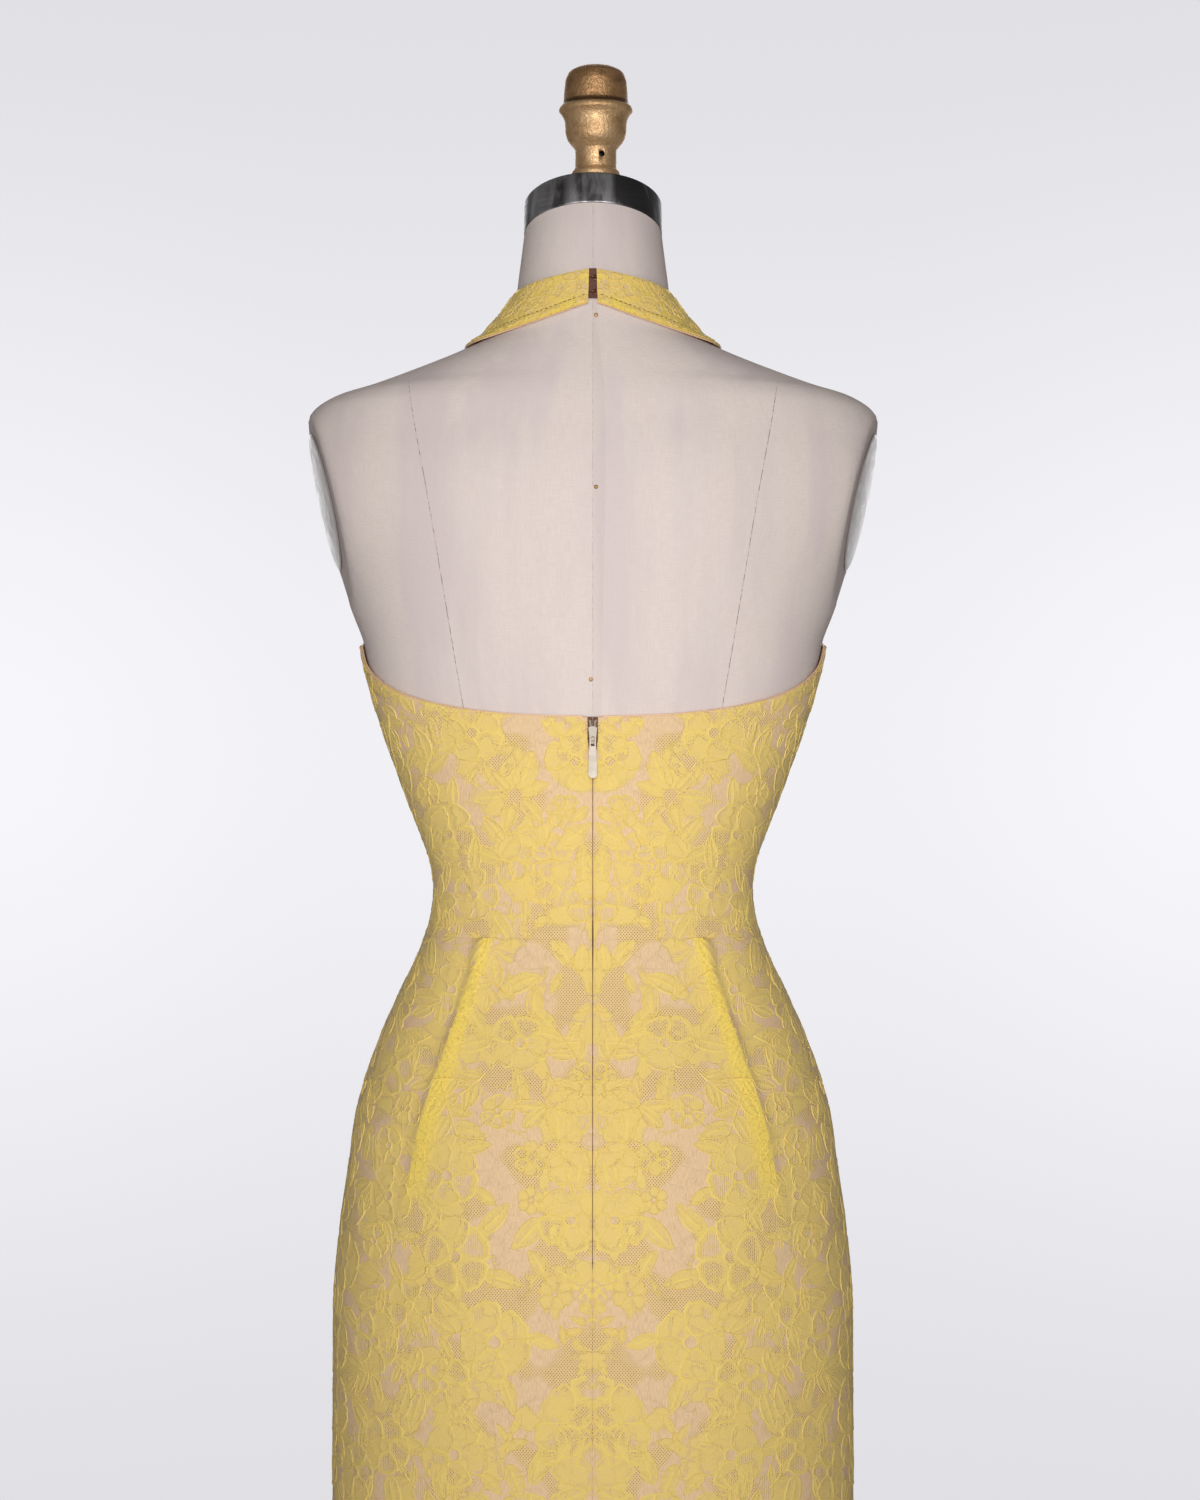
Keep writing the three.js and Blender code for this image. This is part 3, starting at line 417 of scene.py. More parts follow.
def grid_faces(rows, columns, flip=False):
    i = np.arange(rows - 1)[:, None] * columns + np.arange(columns - 1)[None, :]
    quads = np.stack([i, i + columns, i + columns + 1, i + 1], axis=-1).reshape(-1, 4)
    return quads[:, ::-1] if flip else quads


def closed_wall(turn, level, faces, inner, outer):
    """The closed wall between two heights over the figure. Its open edges get a strip each."""
    count, faces = len(turn), np.asarray(faces).tolist()
    points = np.vstack([CLOTH.offset(turn, level, outer), CLOTH.offset(turn, level, inner)])
    edges = {(a, b) for f in faces for a, b in zip(f, f[1:] + f[:1])}
    rims = [(b, a, a + count, b + count) for a, b in sorted(edges) if (b, a) not in edges]
    inside = [[i + count for i in reversed(f)] for f in faces]
    return points, faces + inside + rims


def weld(turn, level, faces):
    """Joins points that have the same turn and level."""
    keys = np.round(np.stack([turn, level], axis=-1), 4)
    _, first, inverse = np.unique(keys, axis=0, return_index=True, return_inverse=True)
    return turn[first], level[first], inverse.reshape(-1)[faces]


# ---------------------------------------------------------------- the cut-and-sewn panels
# Each panel gives the turns and levels of a grid of points on the wearer's left, and the grid's faces.
def level_rows(low, high, step, extra):
    rows = np.linspace(low, high, max(2, round((high - low) / step) + 1))
    rows = rows[[all(abs(r - e) > step * 0.4 for e in extra) for r in rows]]
    return np.unique(np.concatenate([rows, [e for e in extra if low <= e <= high], [low, high]]))


NEAR_SEAM = (1.2, 2.8, 5.5)


def skirt_back_grid(opening, step):
    low, high = HEM_LEVEL, WAIST_LEVEL - SEAM_GAP / 2
    levels = level_rows(low, high, step, [high - d for d in NEAR_SEAM] + [ZIP_END_LEVEL, ZIP_END_LEVEL + 1])
    edge = back_turn(opening(levels), levels)
    u_edge = ARCS.along(edge, levels, "back")
    u_side = ARCS.along(90 - side_seam(levels), levels, "back")
    u_dart = ARCS.along(dart_turn(levels), levels, "back")
    near = np.array([-14, -8, -4.5, -2, -0.7, 0, 0.7, 1.6, 3, 6])
    n_in, n_out = max(3, round(85 / step)), max(3, round(110 / step))
    inner = [lerp(u_edge + 5.5, u_dart - 20, s) for s in np.linspace(0, 1, n_in)]
    outer = [lerp(u_dart + 12, u_side - 5.5, s) for s in np.linspace(0, 1, n_out)]
    columns = [u_edge] + [u_edge + d for d in NEAR_SEAM[:2]] + inner + [u_dart + d for d in near] + outer
    columns += [u_side - d for d in reversed(NEAR_SEAM[:2])] + [u_side]
    u = np.array(columns).T
    turn = ARCS.turn(u, levels[:, None], "back")
    turn[:, 0] = edge
    turn[:, -1] = 90 - side_seam(levels)
    return turn, np.repeat(levels[:, None], u.shape[1], axis=1)


def skirt_front_grid(step):
    low, high = HEM_LEVEL, WAIST_LEVEL - SEAM_GAP / 2
    levels = level_rows(low, high, step, [high - d for d in NEAR_SEAM])
    u_side = ARCS.along(90 + side_seam(levels), levels, "front")
    count = max(4, round(240 / step))
    columns = [u_side] + [u_side - d for d in NEAR_SEAM[:2]]
    columns += [lerp(u_side - 5.5, 0 * u_side, s) for s in np.linspace(0, 1, count)]
    u = np.array(columns).T
    turn = ARCS.turn(u, levels[:, None], "front")
    turn[:, 0] = 90 + side_seam(levels)
    turn[:, -1] = 180
    return turn, np.repeat(levels[:, None], u.shape[1], axis=1)


def bodice_back_grid(opening, step):
    bottom = WAIST_LEVEL + SEAM_GAP / 2
    shares = np.linspace(0, 1, max(4, round(235 / step)) + 1)
    columns = np.concatenate([[0, 0.006, 0.014], shares[1:-1], [0.986, 0.994, 1]])
    height = BACK_TOP_LEVEL - bottom
    between = np.linspace(9 / height, 1 - 9 / height, round(height / step))
    near_top = 1 - np.array([6, 3, 1.2]) / height
    rows = np.concatenate([[0], np.array(NEAR_SEAM) / height, between, near_top, [1]])
    level = bottom + (back_top(90 * columns)[None, :] - bottom) * rows[:, None]
    start = back_turn(opening(level), level)
    turn = lerp(start, 90 - side_seam(level), columns[None, :])
    return turn, level


def upper_front_ends(row):
    last = len(UPPER_OUTER_LEVELS) - 1
    ridge = 90 + SHOULDER_SEAM_TURN
    across = np.maximum(row - UPPER_CLIMB_ROWS, 0) / (last - UPPER_CLIMB_ROWS)
    inner_turn = lerp(180, ridge, across)
    climbed = lerp(SIDE_TOP_LEVEL, FRONT_NECK_LEVEL, row / UPPER_CLIMB_ROWS)
    inner_level = np.where(across > 0, neckline(inner_turn), climbed)
    outer_level = np.interp(row, np.arange(last + 1), UPPER_OUTER_LEVELS)
    outer_turn = np.maximum(armhole_turn(outer_level), 90 + side_seam(outer_level))
    outer_turn = np.where(row == last, ridge, outer_turn)
    return inner_turn, inner_level, outer_turn, outer_level


def bodice_front_grid(step):
    bottom = WAIST_LEVEL + SEAM_GAP / 2
    low = level_rows(bottom, SIDE_TOP_LEVEL - 6, step, [bottom + d for d in NEAR_SEAM])
    per_row = max(1, round(15 / step))
    last = len(UPPER_OUTER_LEVELS) - 1
    rows = np.linspace(0, last, last * per_row + 1)
    shares = np.linspace(0, 1, max(4, round(230 / step)) + 1)[None, :]
    low_turn = lerp(180, 90 + side_seam(low)[:, None], shares)
    inner_turn, inner_level, outer_turn, outer_level = (v[:, None] for v in upper_front_ends(rows))
    high_turn, high_level = lerp(inner_turn, outer_turn, shares), lerp(inner_level, outer_level, shares)
    low_level = np.repeat(low[:, None], shares.shape[1], axis=1)
    return np.vstack([low_turn, high_turn])[:, ::-1], np.vstack([low_level, high_level])[:, ::-1]


def neck_band_grid(step):
    shares = np.linspace(0, 1, max(6, round(150 / step)) + 1)
    turn = lerp(back_turn(NECK_OPEN_HALF, BAND_MIDDLE_LEVEL), 90 - SHOULDER_SEAM_TURN, shares)[None, :]
    rows = np.array([0, 0.04, 0.1, 0.2, 0.24, 0.28, 0.4, 0.55, 0.7, 0.85, 0.96, 1])[:, None]
    level = lerp(band_low(turn), band_high(turn), rows)
    return np.repeat(turn, len(rows), axis=0), level


def panel_points(grid, sides):
    """One flat list of turns, levels and faces for a panel on one side (1 or -1) or on both (a front)."""
    turn, level = grid
    rows, columns = turn.shape
    turns, levels, faces, start = [], [], [], 0
    for side in sides:
        turns.append((side * turn).ravel())
        levels.append(level.ravel())
        faces.append(grid_faces(rows, columns, flip=side < 0) + start)
        start += turn.size
    turns = np.concatenate(turns)
    turns = np.where(turns <= -180, turns + 360, turns)
    return weld(turns, np.concatenate(levels), np.vstack(faces))


def panel_size(grid, halves):
    """The cut's width and length and its flat area, in metres."""
    turn, level = grid
    points = CLOTH.point(turn, level)
    across = np.linalg.norm(np.diff(points, axis=1), axis=-1)
    up = np.linalg.norm(np.diff(points, axis=0), axis=-1)
    width, length = across.sum(axis=1).max() * halves, up.sum(axis=0).max()
    cells = (across[1:] + across[:-1]) / 2 * (up[:, 1:] + up[:, :-1]) / 2
    return width * MM, length * MM, min(cells.sum() * halves * MM * MM, width * length * MM * MM)


PANELS = (  # name, where its cloth is measured from, sides, how it is held
    ("bodice_front", "front", (1, -1), "stretched"),
    ("skirt_front", "front", (1, -1), "hung"),
    ("bodice_back_left", "back", (1,), "stretched"),
    ("bodice_back_right", "back", (-1,), "stretched"),
    ("skirt_back_left", "back", (1,), "hung"),
    ("skirt_back_right", "back", (-1,), "hung"),
    ("neck_band_left", "back", (1,), "stretched"),
    ("neck_band_right", "back", (-1,), "stretched"),
)


def panel_grid(name, opening, step):
    if name.startswith("bodice_back"):
        return bodice_back_grid(opening, step)
    if name.startswith("skirt_back"):
        return skirt_back_grid(opening, step)
    grids = {"bodice_front": bodice_front_grid, "skirt_front": skirt_front_grid}
    return grids.get(name, neck_band_grid)(step)


def built_panels(opening, step):
    """Each panel's name, face and hold, its points and faces, their distances u, and its size."""
    for name, face, sides, held in PANELS:
        grid = panel_grid(name, opening, step)
        turn, level, faces = panel_points(grid, sides)
        u = ARCS.along(turn, level, face)
        yield name, face, held, turn, level, faces, u, panel_size(grid, len(sides))


def cloth_kind(name, face):
    """Which relief and which field of motifs a panel has: front, back or band."""
    return "band" if name.startswith("neck_band") else face


LINING_STEP = 11.0
LACE_STEP = 7.0
LINING_ABOVE = 0.9  # how far the lining shows above the back's top edge
LINING_BELOW = 0.35  # how far it shows below the neck band's lower edge
EDGE_REACH = 3  # from the edge to where the lining lies under the lace again
BAND_WORKED = 0.8  # how closely the ground is worked where the lace lies double


def dart_band(level, u):
    """Where the dart's folded cloth lies under the lace, from the fold towards centre back."""
    fold = u - ARCS.along(dart_turn(level), level, "back")
    reach = lerp(8, 17, smoothstep(WAIST_LEVEL - level, 0, 130))
    inside = smoothstep(-fold, -0.8, 0.4) * (1 - smoothstep(-fold, reach * 0.5, reach * 1.15))
    return inside * smoothstep(level, 846, 900) * (level < WAIST_LEVEL)


def doubled_cloth(name, turn, level, u):
    """Where the lace lies double, 0 to 1: the take-up of the darts, and the neck band, most in its hem."""
    if name.startswith("skirt_back"):
        return dart_band(level, u)
    if name.startswith("neck_band"):
        return 0.55 + 0.4 * (level < band_low(np.abs(turn)) + BAND_STITCH_UP - 0.5)
    return np.zeros(len(u))


def lace_density(turn, level, u, name):
    """How closely the ground is worked, from 0, bare net, to 1, solid cloth."""
    density = np.zeros(len(turn))
    drops = (0, REPEAT, 2 * REPEAT) if name.startswith("skirt") else (0,)
    for u0, level0, radius in BACK_BARE:
        for drop in drops:
            density -= bell(np.hypot(u - u0, level - level0 + drop) / radius)
    if name.startswith("skirt_back"):
        band = dart_band(level, u)
        density = lerp(density, BAND_WORKED, band)
    if name.startswith("neck_band"):
        density = np.full(len(turn), BAND_WORKED)
    return density


def add_linings(material):
    for name, _, held, turn, level, faces, u, size in built_panels(lining_opening, LINING_STEP):
        proud = 0.0
        if name.startswith("bodice_back"):
            top = back_top(np.abs(turn))
            proud = LINING_ABOVE * smoothstep(level, top - EDGE_REACH, top)
        if name.startswith("neck_band"):
            low = band_low(np.abs(turn))
            proud = -LINING_BELOW * (1 - smoothstep(level, low, low + EDGE_REACH))
        points, walls = closed_wall(turn, level + proud, faces, *LINING)
        cloth = np.tile(np.stack([u, level, 0 * u], axis=-1), (2, 1))
        piece = mesh_object("nude_lining_" + name, points, walls, {"cloth": cloth})
        finish_piece(piece, material, replaces=["lining_" + name])
        width, length, area = size


def add_laces(material, motifs):
    for name, face, held, turn, level, faces, u, size in built_panels(lace_opening, LACE_STEP):
        outer = LACE[1] + relief(turn, level, u, cloth_kind(name, face))
        points, walls = closed_wall(turn, level, faces, LACE[0], outer)
        cloth = np.stack([u, level, lace_density(turn, level, u, name)], axis=-1)
        doubled = doubled_cloth(name, turn, level, u)
        attributes = {"cloth": np.tile(cloth, (2, 1)), "doubled": np.tile(doubled, 2)}
        piece = mesh_object("lace_ground_" + name, points, walls, attributes)
        finish_piece(piece, material, replaces=["lace_" + name])
        width, length, area = size
        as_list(motifs.get(name, []))


# ---------------------------------------------------------------- lace motifs
# A motif is a set of raised shapes in cloth coordinates: u, the distance from the centre, and level.
# A ring is (scale about the shape's middle, height over the ground, how solid the cloth is). A solidity
# over 1 is cord.
SUNK = -0.12
# In petals and leaves the third ring, just inside the cord, is less solid: painted shade beside the cord,
# drawn as a ring of half-open work.
PETAL_RINGS = ((1.0, SUNK, 0.9), (0.93, 0.36, 1.55), (0.84, 0.06, 0.6), (0.42, 0.24, 0.95))
OPEN_PETAL_RINGS = ((1.0, SUNK, 0.9), (0.92, 0.37, 1.55), (0.82, 0.1, 0.9), (0.5, 0.1, 0.45))
LEAF_RINGS = ((1.0, SUNK, 0.9), (0.9, 0.32, 1.5), (0.74, 0.06, 0.68), (0.17, 0.14, 0.8), (0.05, 0.3, 1.5))
EYE_RINGS = ((1.0, 0.1, 1.0), (0.8, 0.6, 1.5), (0.62, 0.3, 0.3))
FINE_POINTS = 20
COARSE_POINTS = 12
SEEN_LEVEL = 600.0  # below it the motifs have fewer points
CELL = 3.0  # of the coverage grid
REPEAT = 406.0  # the height of the lace's pattern repeat
VEIN_SHORTER = 0.3  # how much shorter than its leaf a vein is
CORD_HALF = 0.85


def petal_outline(length, width, points, notch, phase=0.0):
    """A petal's edge, round at the foot and scalloped towards the tip."""
    t = np.linspace(0, 2 * np.pi, points, endpoint=False)
    x, y = np.sin(t), -np.cos(t)
    tip = smoothstep(y, -0.3, 0.7)
    ripple = 1 + tip * (0.07 * np.cos(6 * t + phase) + 0.04 * np.cos(9 * t - 2 * phase))
    x = x * width / 2 * (1 + 0.28 * y) * ripple
    y = y * length / 2 * ripple - notch * length * bell((t - np.pi) / 0.3)
    return np.stack([x, y], axis=-1)


def leaf_outline(length, width, points):
    """A straight leaf's edge, wavy, with a point at both ends."""
    t = np.linspace(0, 2 * np.pi, points, endpoint=False)
    y = -np.cos(t)
    x = np.sign(np.sin(t)) * np.abs(np.sin(t)) ** 1.4 * (1 - 0.28 * y) * width / 2
    return np.stack([x * (1 + 0.09 * np.cos(7 * t)), y * length / 2], axis=-1)


def turned(points, angle):
    """Turned clockwise from up, so that a petal that stands on the middle points along the angle."""
    c, s = math.cos(angle), math.sin(angle)
    return np.stack([points[:, 0] * c + points[:, 1] * s, points[:, 1] * c - points[:, 0] * s], axis=-1)


def ring_faces(count, rings):
    """The bands of faces between rings of points, each ring inside the one before."""
    ring = np.arange(count)
    after = np.roll(ring, -1)
    starts = np.arange(rings - 1) * count
    return np.vstack([np.stack([k + ring, k + count + ring, k + count + after, k + after], axis=-1)
                      for k in starts])


def ring_layer(points, height, solidity):
    return np.column_stack([points, np.full(len(points), height), np.full(len(points), solidity)])


def cushion(outline, rings):
    """A raised shape's points (x, y, height, solidity) and its faces, closed by a fan over the middle."""
    n, middle = len(outline), outline.mean(axis=0)
    layers = [ring_layer(middle + (outline - middle) * s, h, f) for s, h, f in rings]
    last = layers[-1].mean(axis=0, keepdims=True)
    top = (len(layers) - 1) * n
    ring = np.arange(n)
    after = np.roll(ring, -1)
    fan = np.stack([top + ring, np.full(n, top + n), top + after, top + after], axis=-1)
    return np.vstack(layers + [last]), np.vstack([ring_faces(n, len(layers)), fan])


def blade(outline, rings):
    """A leaf's points and faces: its rings draw in to a raised vein, which is closed straight across."""
    n = len(outline)
    layers = [ring_layer(outline * (s, 1 - VEIN_SHORTER * (1 - s)), h, f) for s, h, f in rings]
    top = (len(layers) - 1) * n
    right = np.arange(n // 2)
    left = (n - right) % n
    across = np.stack([top + right, top + left, top + (n - right - 1) % n, top + right + 1], axis=-1)
    return np.vstack(layers), np.vstack([ring_faces(n, len(layers)), across])


WHORLS = (  # petals, then shares of the rose's size: distance out, length, width; and the first one's angle
    (7, 0.36, 0.3, 0.37, 0.0), (5, 0.2, 0.27, 0.29, math.pi / 5), (3, 0.075, 0.17, 0.19, 0.0),
)
FILL_COLUMNS = ("kind", "pitch", "reach", "taken", "small", "large")
FILL_ROWS = (
    ("bloom", 22, 18, 0.12, 32, 44),
    ("spray", 18, 14, 0.14, 19, 27),
    ("flower", 16, 11, 0.16, 22, 29),
    ("spray", 14, 11, 0.16, 15, 20),
    ("leaf", 13, 8, 0.18, 20, 28),
    ("sprig", 11, 7, 0.16, 11, 15),
    ("leaf", 9, 5, 0.16, 12, 17),
)
BAND_ROWS = (
    ("flower", 9, 6, 0.4, 13, 17),
    ("leaf", 7, 5, 0.4, 13, 18),
    ("leaf", 5, 3.2, 0.45, 8, 12),
)


class MotifField:
    """The motifs of one half of the front or the back, from its centre line to its side."""

    def __init__(self, face, low, high, width, seed):
        self.face, self.low, self.high, self.width = face, low, high, width
        self.rng = np.random.default_rng(seed)
        self.points, self.faces, self.count, self.order = [], [], 0, 0
        self.covered = np.zeros((int((high - low) / CELL) + 1, int(width / CELL) + 1), bool)
        self.kept_bare = np.zeros_like(self.covered)

    def add(self, u, level, shape, faces):
        steep = float(ARCS.steep(ARCS.turn(abs(u), level, self.face), level))
        lift = (self.order % 5) * 0.06 * (shape[:, 2] > 0.05)
        self.order += 1
        x, y, height, solidity = shape.T
        placed = np.column_stack([u + x, level + y / steep, height + lift, solidity])
        self.points.append(placed)
        self.faces.append(faces + self.count)
        self.count += len(placed)

    def detail(self, level):
        return FINE_POINTS if level > SEEN_LEVEL else COARSE_POINTS

    def cells(self, u, level, radius):
        i, j, k = (level - self.low) / CELL, u / CELL, radius / CELL
        i0, i1 = max(0, int(i - k)), min(self.covered.shape[0], int(i + k) + 2)
        j0, j1 = max(0, int(j - k)), min(self.covered.shape[1], int(j + k) + 2)
        return slice(i0, i1), slice(j0, j1), i, j, k

    def mark(self, u, level, a, b, angle, where=None):
        rows, columns, i, j, _ = self.cells(u, level, max(a, b))
        if rows.start >= rows.stop or columns.start >= columns.stop:
            return
        grid = self.covered if where is None else where
        dy = (np.arange(rows.start, rows.stop)[:, None] - i) * CELL
        dx = (np.arange(columns.start, columns.stop)[None, :] - j) * CELL
        across = dx * math.cos(angle) - dy * math.sin(angle)
        along = dx * math.sin(angle) + dy * math.cos(angle)
        grid[rows, columns] |= (across / a) ** 2 + (along / b) ** 2 < 1

    def free(self, u, level, radius):
        """The covered share of the square round a place."""
        rows, columns, *_ = self.cells(u, level, radius)
        window = self.covered[rows, columns] | self.kept_bare[rows, columns]
        return window.mean() if window.size else 1.0

    def petal(self, u, level, x, y, length, width, angle, opened, notch=0.07):
        phase = 0.0 if u == 0 else self.rng.uniform(-0.9, 0.9)
        outline = turned(petal_outline(length, width, self.detail(level), notch, phase), angle) + (x, y)
        self.add(u, level, *cushion(outline, OPEN_PETAL_RINGS if opened else PETAL_RINGS))
        self.mark(u + x, level + y, width * 0.5, length * 0.5, angle)

    def leaf(self, u, level, x, y, length, width, angle, bend):
        """A leaf whose foot is at (x, y) from the place."""
        middle = turned(np.array([[0.0, length / 2]]), angle)[0] + (x, y)
        rings = LEAF_RINGS if level > SEEN_LEVEL else LEAF_RINGS[:3] + LEAF_RINGS[4:]
        shape, faces = blade(leaf_outline(length, width, self.detail(level) - 4), rings)
        shape[:, 0] += bend * width * (1 - (2 * shape[:, 1] / length) ** 2)
        shape[:, :2] = turned(shape[:, :2], angle) + middle
        self.add(u, level, shape, faces)
        self.mark(u + middle[0], level + middle[1], width * 0.45, length * 0.48, angle)

    def stem(self, u, level, path):
        """A cord along a path of points from the place."""
        path = np.asarray(path, float)
        along = np.gradient(path, axis=0)
        along /= np.linalg.norm(along, axis=1, keepdims=True)
        across = np.stack([-along[:, 1], along[:, 0]], axis=-1) * CORD_HALF
        rows = [(path - across, SUNK, 1.1), (path, 0.5, 1.5), (path + across, SUNK, 1.1)]
        shape = np.vstack([ring_layer(*row) for row in rows])
        self.add(u, level, shape, np.roll(grid_faces(len(rows), len(path)), -1, axis=1))

    def flower(self, u, level, size, petals, angle, mirrored=False, opened=0.5):
        """Petals round an eye. A mirrored one is the same on both sides of its upright axis."""
        rng = self.rng
        for k in range(petals):
            a = angle + 2 * np.pi * k / petals
            wobble = 0 if mirrored else rng.normal(0, 0.07)
            grown = 1 if mirrored else rng.uniform(0.9, 1.1)
            out = 0.29 * size * grown
            width = size * (0.46 if petals < 6 else 0.36)
            x, y = out * math.sin(a + wobble), out * math.cos(a + wobble)
            self.petal(u, level, x, y, 0.44 * size * grown, width, a + wobble,
                       mirrored or rng.random() < opened)
        eye = petal_outline(0.24 * size, 0.24 * size, 10, 0)
        eye[:, 0] /= 1 + 0.3 * eye[:, 1] / (0.12 * size)
        self.add(u, level, *cushion(eye, EYE_RINGS))
        self.mark(u, level, size * 0.3, size * 0.3, 0)

    def rose(self, u, level, size, mirrored):
        """Three whorls of petals."""
        for count, out, length, width, start in WHORLS:
            for k in range(count):
                a = start + 2 * np.pi * k / count + (0 if mirrored else self.rng.normal(0, 0.05))
                self.petal(u, level, out * size * math.sin(a), out * size * math.cos(a), length * size,
                           width * size, a, k % 2 == 0 or out < 0.3, notch=0.1)

    def spray(self, u, level, length, angle, leaves, leaf_size):
        """A curved stem with leaves on both sides and one at its tip."""
        rng = self.rng
        curl = rng.uniform(-0.5, 0.5)
        share = np.linspace(0, 1, max(5, int(length / 3.2)))
        heading = angle + curl * share * 1.6
        step = length / (len(share) - 1)
        path = np.cumsum(np.column_stack([np.sin(heading), np.cos(heading)]) * step, axis=0)
        path = np.vstack([[0.0, 0.0], path[:-1]])
        self.stem(u, level, path)
        for k in range(leaves):
            at = int(lerp(1, len(share) - 2, (k + 0.6) / leaves))
            side = 1 if k % 2 else -1
            size = leaf_size * rng.uniform(0.8, 1.15)
            self.leaf(u, level, *path[at], size, size * rng.uniform(0.42, 0.54),
                      heading[at] + side * rng.uniform(0.6, 1.05), rng.uniform(-0.12, 0.12))
        tip = path[-1]
        self.leaf(u, level, *tip, leaf_size * 1.1, leaf_size * 0.5, heading[-1], rng.uniform(-0.1, 0.1))

    def wreath(self, u, level, size, count, first):
        """Leaves that stand round a flower, pushed under its petals."""
        for k in range(count):
            a = first + 2 * np.pi * k / count + self.rng.normal(0, 0.18)
            length = self.rng.uniform(19, 31)
            out = size * 0.44
            width = length * self.rng.uniform(0.4, 0.52)
            self.leaf(u, level, out * math.sin(a), out * math.cos(a), length, width,
                      a + self.rng.normal(0, 0.35), self.rng.uniform(-0.12, 0.12))

    def fill(self, rows, share=0.79):
        """Goes over the field once for each row and puts its kind of motif where there is room."""
        rng = self.rng
        for row in rows:
            job = dict(zip(FILL_COLUMNS, row))
            pitch = job["pitch"]
            levels = np.arange(self.low + rng.uniform(0, pitch), self.high, pitch)
            us = np.arange(rng.uniform(0, pitch), self.width, pitch)
            places = np.array(np.meshgrid(us, levels)).reshape(2, -1).T
            places = places + rng.uniform(-pitch / 2, pitch / 2, places.shape)
            for u, level in rng.permutation(places):
                if u < 2 or self.covered.mean() > share or self.free(u, level, job["reach"]) > job["taken"]:
                    continue
                size, angle = rng.uniform(job["small"], job["large"]), rng.uniform(0, 2 * np.pi)
                if job["kind"] == "bloom":
                    self.wreath(u, level, size, 3, angle + 0.5)
                    self.flower(u, level, size, 5, angle)
                elif job["kind"] == "flower":
                    self.flower(u, level, size, 6 if rng.random() < 0.5 else 5, angle)
                elif job["kind"] == "spray":
                    self.spray(u, level, size * 1.5, angle, 4, size)
                elif job["kind"] == "sprig":
                    self.spray(u, level, size, angle, 2, size)
                else:
                    width = size * rng.uniform(0.4, 0.55)
                    self.leaf(u, level, 0, 0, size, width, angle, rng.uniform(-0.15, 0.15))

    def arrays(self):
        return np.vstack(self.points), np.vstack(self.faces)


HERO_COLUMNS = ("kind", "u", "level", "size", "angle", "leaves")
BACK_HEROES = (
    ("rose", 0, 716, 79, 0, 0),
    ("rose", 41, 1098, 56, 0.3, 3),
    ("flower", 66, 776, 54, 0.4, 3),
    ("flower", 94, 832, 52, 0.1, 4),
    ("flower", 94, 699, 50, 0.8, 4),
    ("flower", 17, 927, 34, 0.6, 1),
    ("flower", 17, 895, 32, 0.0, 1),
    ("flower", 100, 886, 46, 0.5, 4),
    ("flower", 49, 975, 44, 0.9, 4),
    ("flower", 12, 1170, 44, 0.0, 2),
    ("flower", 84, 1190, 46, 0.3, 3),
    ("flower", 4, 1072, 32, 0.0, 1),
    ("flower", 105, 1120, 46, 0.7, 4),
    ("flower", 100, 1010, 40, 0.2, 4),
    ("flower", 45, 655, 46, 0.4, 3),
    ("small", 25, 809, 26, 0.2, 1),
    ("small", 41, 871, 20, 0.0, 0),
    ("leaves", 53, 1146, 10, 0.2, 6),
    ("flower", 140, 1060, 44, 0.1, 4),
    ("flower", 150, 960, 48, 0.5, 4),
    ("flower", 160, 1160, 46, 0.9, 4),
    ("flower", 150, 870, 42, 0.3, 3),
    ("flower", 160, 770, 46, 0.7, 4),
    ("flower", 200, 820, 44, 0.2, 3),
    ("flower", 205, 910, 40, 0.6, 3),
    ("flower", 215, 720, 46, 0.4, 3),
    ("flower", 150, 700, 44, 0.8, 3),
    ("flower", 195, 1000, 40, 0.5, 3),
)
BACK_BARE = (  # u, level, radius of ground left plain
    (69, 880, 15), (64, 895, 12), (53, 842, 13), (84, 930, 10), (44, 870, 9), (30, 985, 12), (20, 1007, 10),
    (14, 1043, 10), (30, 1046, 8), (44, 1030, 9), (30, 1185, 14), (50, 1195, 10), (34, 1150, 10),
    (30, 765, 8), (24, 752, 8), (47, 748, 8), (62, 722, 9), (42, 700, 8), (30, 832, 9), (56, 815, 9),
    (12, 782, 6),
)


REPEAT_FOOT = 640  # below this level the pattern starts again
REPEATS = (  # how far up the table is moved, and the levels between which it is planted
    (0, 0, NECK_TOP_LEVEL),
    (-REPEAT, HEM_LEVEL, REPEAT_FOOT),
    (-2 * REPEAT, HEM_LEVEL - 20, REPEAT_FOOT - REPEAT),
)
BUST_REPEAT = (REPEAT, 1215, 1480)
FIELD_WIDTH = 300.0
BAND_FIELD = (1450.0, 1506.0, 175.0)  # low, high, width


def plant(field, repeats):
    """Places the rows of the table whose level, once shifted, lies within limits."""
    for shift, low, high in repeats:
        for row in BACK_HEROES:
            hero = dict(zip(HERO_COLUMNS, row))
            level = hero["level"] + shift
            if not low < level < high:
                continue
            u, size, angle = hero["u"], hero["size"], hero["angle"]
            if hero["leaves"]:
                field.wreath(u, level, size, hero["leaves"], angle + 0.6)
            if hero["kind"] == "rose":
                field.rose(u, level, size, u == 0)
            elif hero["kind"] == "small":
                field.flower(u, level, size, 6, angle, opened=0)
            elif hero["kind"] == "flower":
                field.flower(u, level, size, 5, angle, mirrored=u < 6)


def back_field():
    field = MotifField("back", HEM_LEVEL, SIDE_TOP_LEVEL + 2, FIELD_WIDTH, seed=11)
    for u, level, radius in BACK_BARE:
        for drop in (0, REPEAT, 2 * REPEAT):
            if drop == 0 or level < WAIST_LEVEL - 40:
                field.mark(u, level - drop, radius, radius, 0, where=field.kept_bare)
    plant(field, REPEATS)
    field.fill(FILL_ROWS)
    return field


